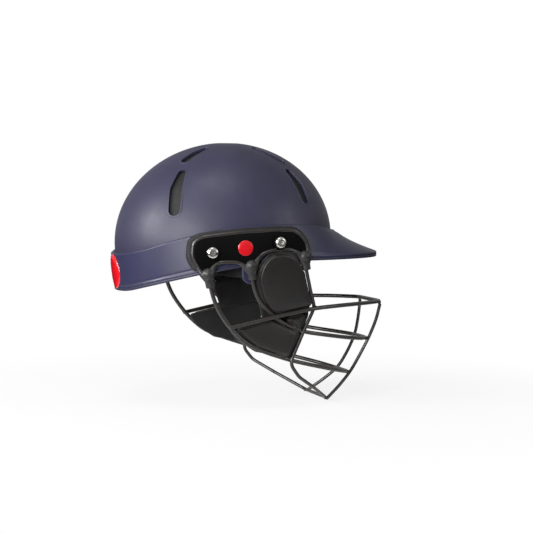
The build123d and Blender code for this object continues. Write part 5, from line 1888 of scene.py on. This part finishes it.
@dataclass
class Studio:
    """Floor, light and camera."""

    camera: tuple = (-1.7213, 0.4774, 0.0717)
    aim: tuple = (0.9545, -0.2926, -0.0573)
    lens: float = 108.07
    floor_drop: float = 0.1815
    floor_glow: float = 0.82
    floor_half: float = 6.0
    floor_fade: tuple = (0.22, 0.6)
    world_light: float = 0.13
    world_gloss: float = 0.4
    lamps: tuple = (
        ("key", (-1.7, 1.5, 0.35), 1.1, 48.0),
        ("rim", (-0.3, 2.0, 0.7), 0.8, 42.0),
        ("top", (-0.9, 0.4, 2.2), 0.8, 13.0),
        ("fill", (-1.5, -2.1, 0.8), 0.8, 9.0),
    )

    def build(self) -> None:
        """Make the studio."""
        self.floor()
        self.world()
        for lamp in self.lamps:
            self.lamp(*lamp)
        data = bpy.data.cameras.new("camera")
        data.lens, data.sensor_width = self.lens, 36.0
        data.clip_start, data.clip_end = 0.05, 50.0
        camera = add_object("camera", data)
        camera.location = self.camera
        camera.rotation_euler = Vector(self.aim).to_track_quat("-Z", "Y").to_euler()
        scene = bpy.context.scene
        scene.camera = camera
        scene.view_settings.view_transform = "Standard"

    def floor(self) -> None:
        """Pale floor under the helmet that goes over into the white of the background.

        Only the camera sees the white, so the floor's far parts light nothing.
        """
        line = np.linspace(-self.floor_half, self.floor_half, 5)
        u, v = np.meshgrid(line, line, indexing="ij")
        points = np.stack([u, v, np.full_like(u, -self.floor_drop)], -1).reshape(-1, 3)
        mesh = bpy.data.meshes.new("floor")
        mesh.from_pydata(points.tolist(), [], grid_faces(5, 5, False, False).tolist())
        material = bpy.data.materials.new("pale_floor")
        material.use_nodes = True
        tree = material.node_tree
        tree.nodes.clear()
        where = add_node(tree, "ShaderNodeTexCoord").outputs["Object"]
        far = add_node(tree, "ShaderNodeVectorMath", {"operation": "LENGTH"}, {0: where})
        fade = add_node(
            tree, "ShaderNodeMapRange", {"interpolation_type": "SMOOTHSTEP"},
            {"Value": far.outputs["Value"], "From Min": self.floor_fade[0],
             "From Max": self.floor_fade[1]},
        ).outputs["Result"]
        seen = add_node(tree, "ShaderNodeLightPath").outputs["Is Camera Ray"]
        paper = add_node(tree, "ShaderNodeBsdfDiffuse", {}, {"Color": linear("#FAFAFA")})
        glow = add_node(tree, "ShaderNodeEmission", {}, {"Color": (1, 1, 1, 1), "Strength": seen})
        share = ranged(tree, fade, 0.0, 1.0, self.floor_glow, 1.0)
        bright = add_node(
            tree, "ShaderNodeMixShader", {}, {0: share, 1: paper.outputs[0], 2: glow.outputs[0]}
        )
        plain = add_node(
            tree, "ShaderNodeMixShader", {}, {0: fade, 1: paper.outputs[0], 2: glow.outputs[0]}
        )
        mixed = add_node(
            tree, "ShaderNodeMixShader", {}, {0: seen, 1: plain.outputs[0], 2: bright.outputs[0]}
        )
        add_node(tree, "ShaderNodeOutputMaterial", {}, {"Surface": mixed.outputs[0]})
        mesh.materials.append(material)
        add_object("floor", mesh)

    def world(self) -> None:
        """White to the camera and through glass, paler grey in reflections, darker as light."""
        world = bpy.data.worlds.new("studio")
        bpy.context.scene.world = world
        world.use_nodes = True
        tree = world.node_tree
        tree.nodes.clear()
        path = add_node(tree, "ShaderNodeLightPath")
        seen = reckoned(
            tree, "MAXIMUM", path.outputs["Is Camera Ray"], path.outputs["Is Transmission Ray"]
        )
        level = ranged(
            tree, path.outputs["Is Glossy Ray"], 0.0, 1.0, self.world_light, self.world_gloss
        )
        light = add_node(tree, "ShaderNodeBackground", {},
                         {"Color": (1, 1, 1, 1), "Strength": level})
        white = add_node(tree, "ShaderNodeBackground", {}, {"Color": (1, 1, 1, 1), "Strength": 1.0})
        mixed = add_node(tree, "ShaderNodeMixShader", {},
                         {0: seen, 1: light.outputs[0], 2: white.outputs[0]})
        add_node(tree, "ShaderNodeOutputWorld", {}, {"Surface": mixed.outputs[0]})

    @staticmethod
    def lamp(name: str, spot: tuple, size: float, power: float) -> None:
        """Square soft lamp that looks at the helmet."""
        data = bpy.data.lights.new(name, "AREA")
        data.size, data.energy = size, power
        lamp = add_object(name, data)
        lamp.location = spot
        lamp.rotation_euler = (-Vector(spot)).to_track_quat("-Z", "Y").to_euler()


def main() -> None:
    """Build the helmet piece by piece."""
    logging.basicConfig(level=logging.INFO, format="%(name)s: %(message)s")
    DomeShell().build()
    LowerShell().build()
    SideHardware().build()
    guard = FaceGuard()
    wires = guard.build()
    CheekPads().build(guard, wires)
    Interior().build()
    ChinStrap().build()
    Studio().build()


if __name__ == "__main__":
    main()
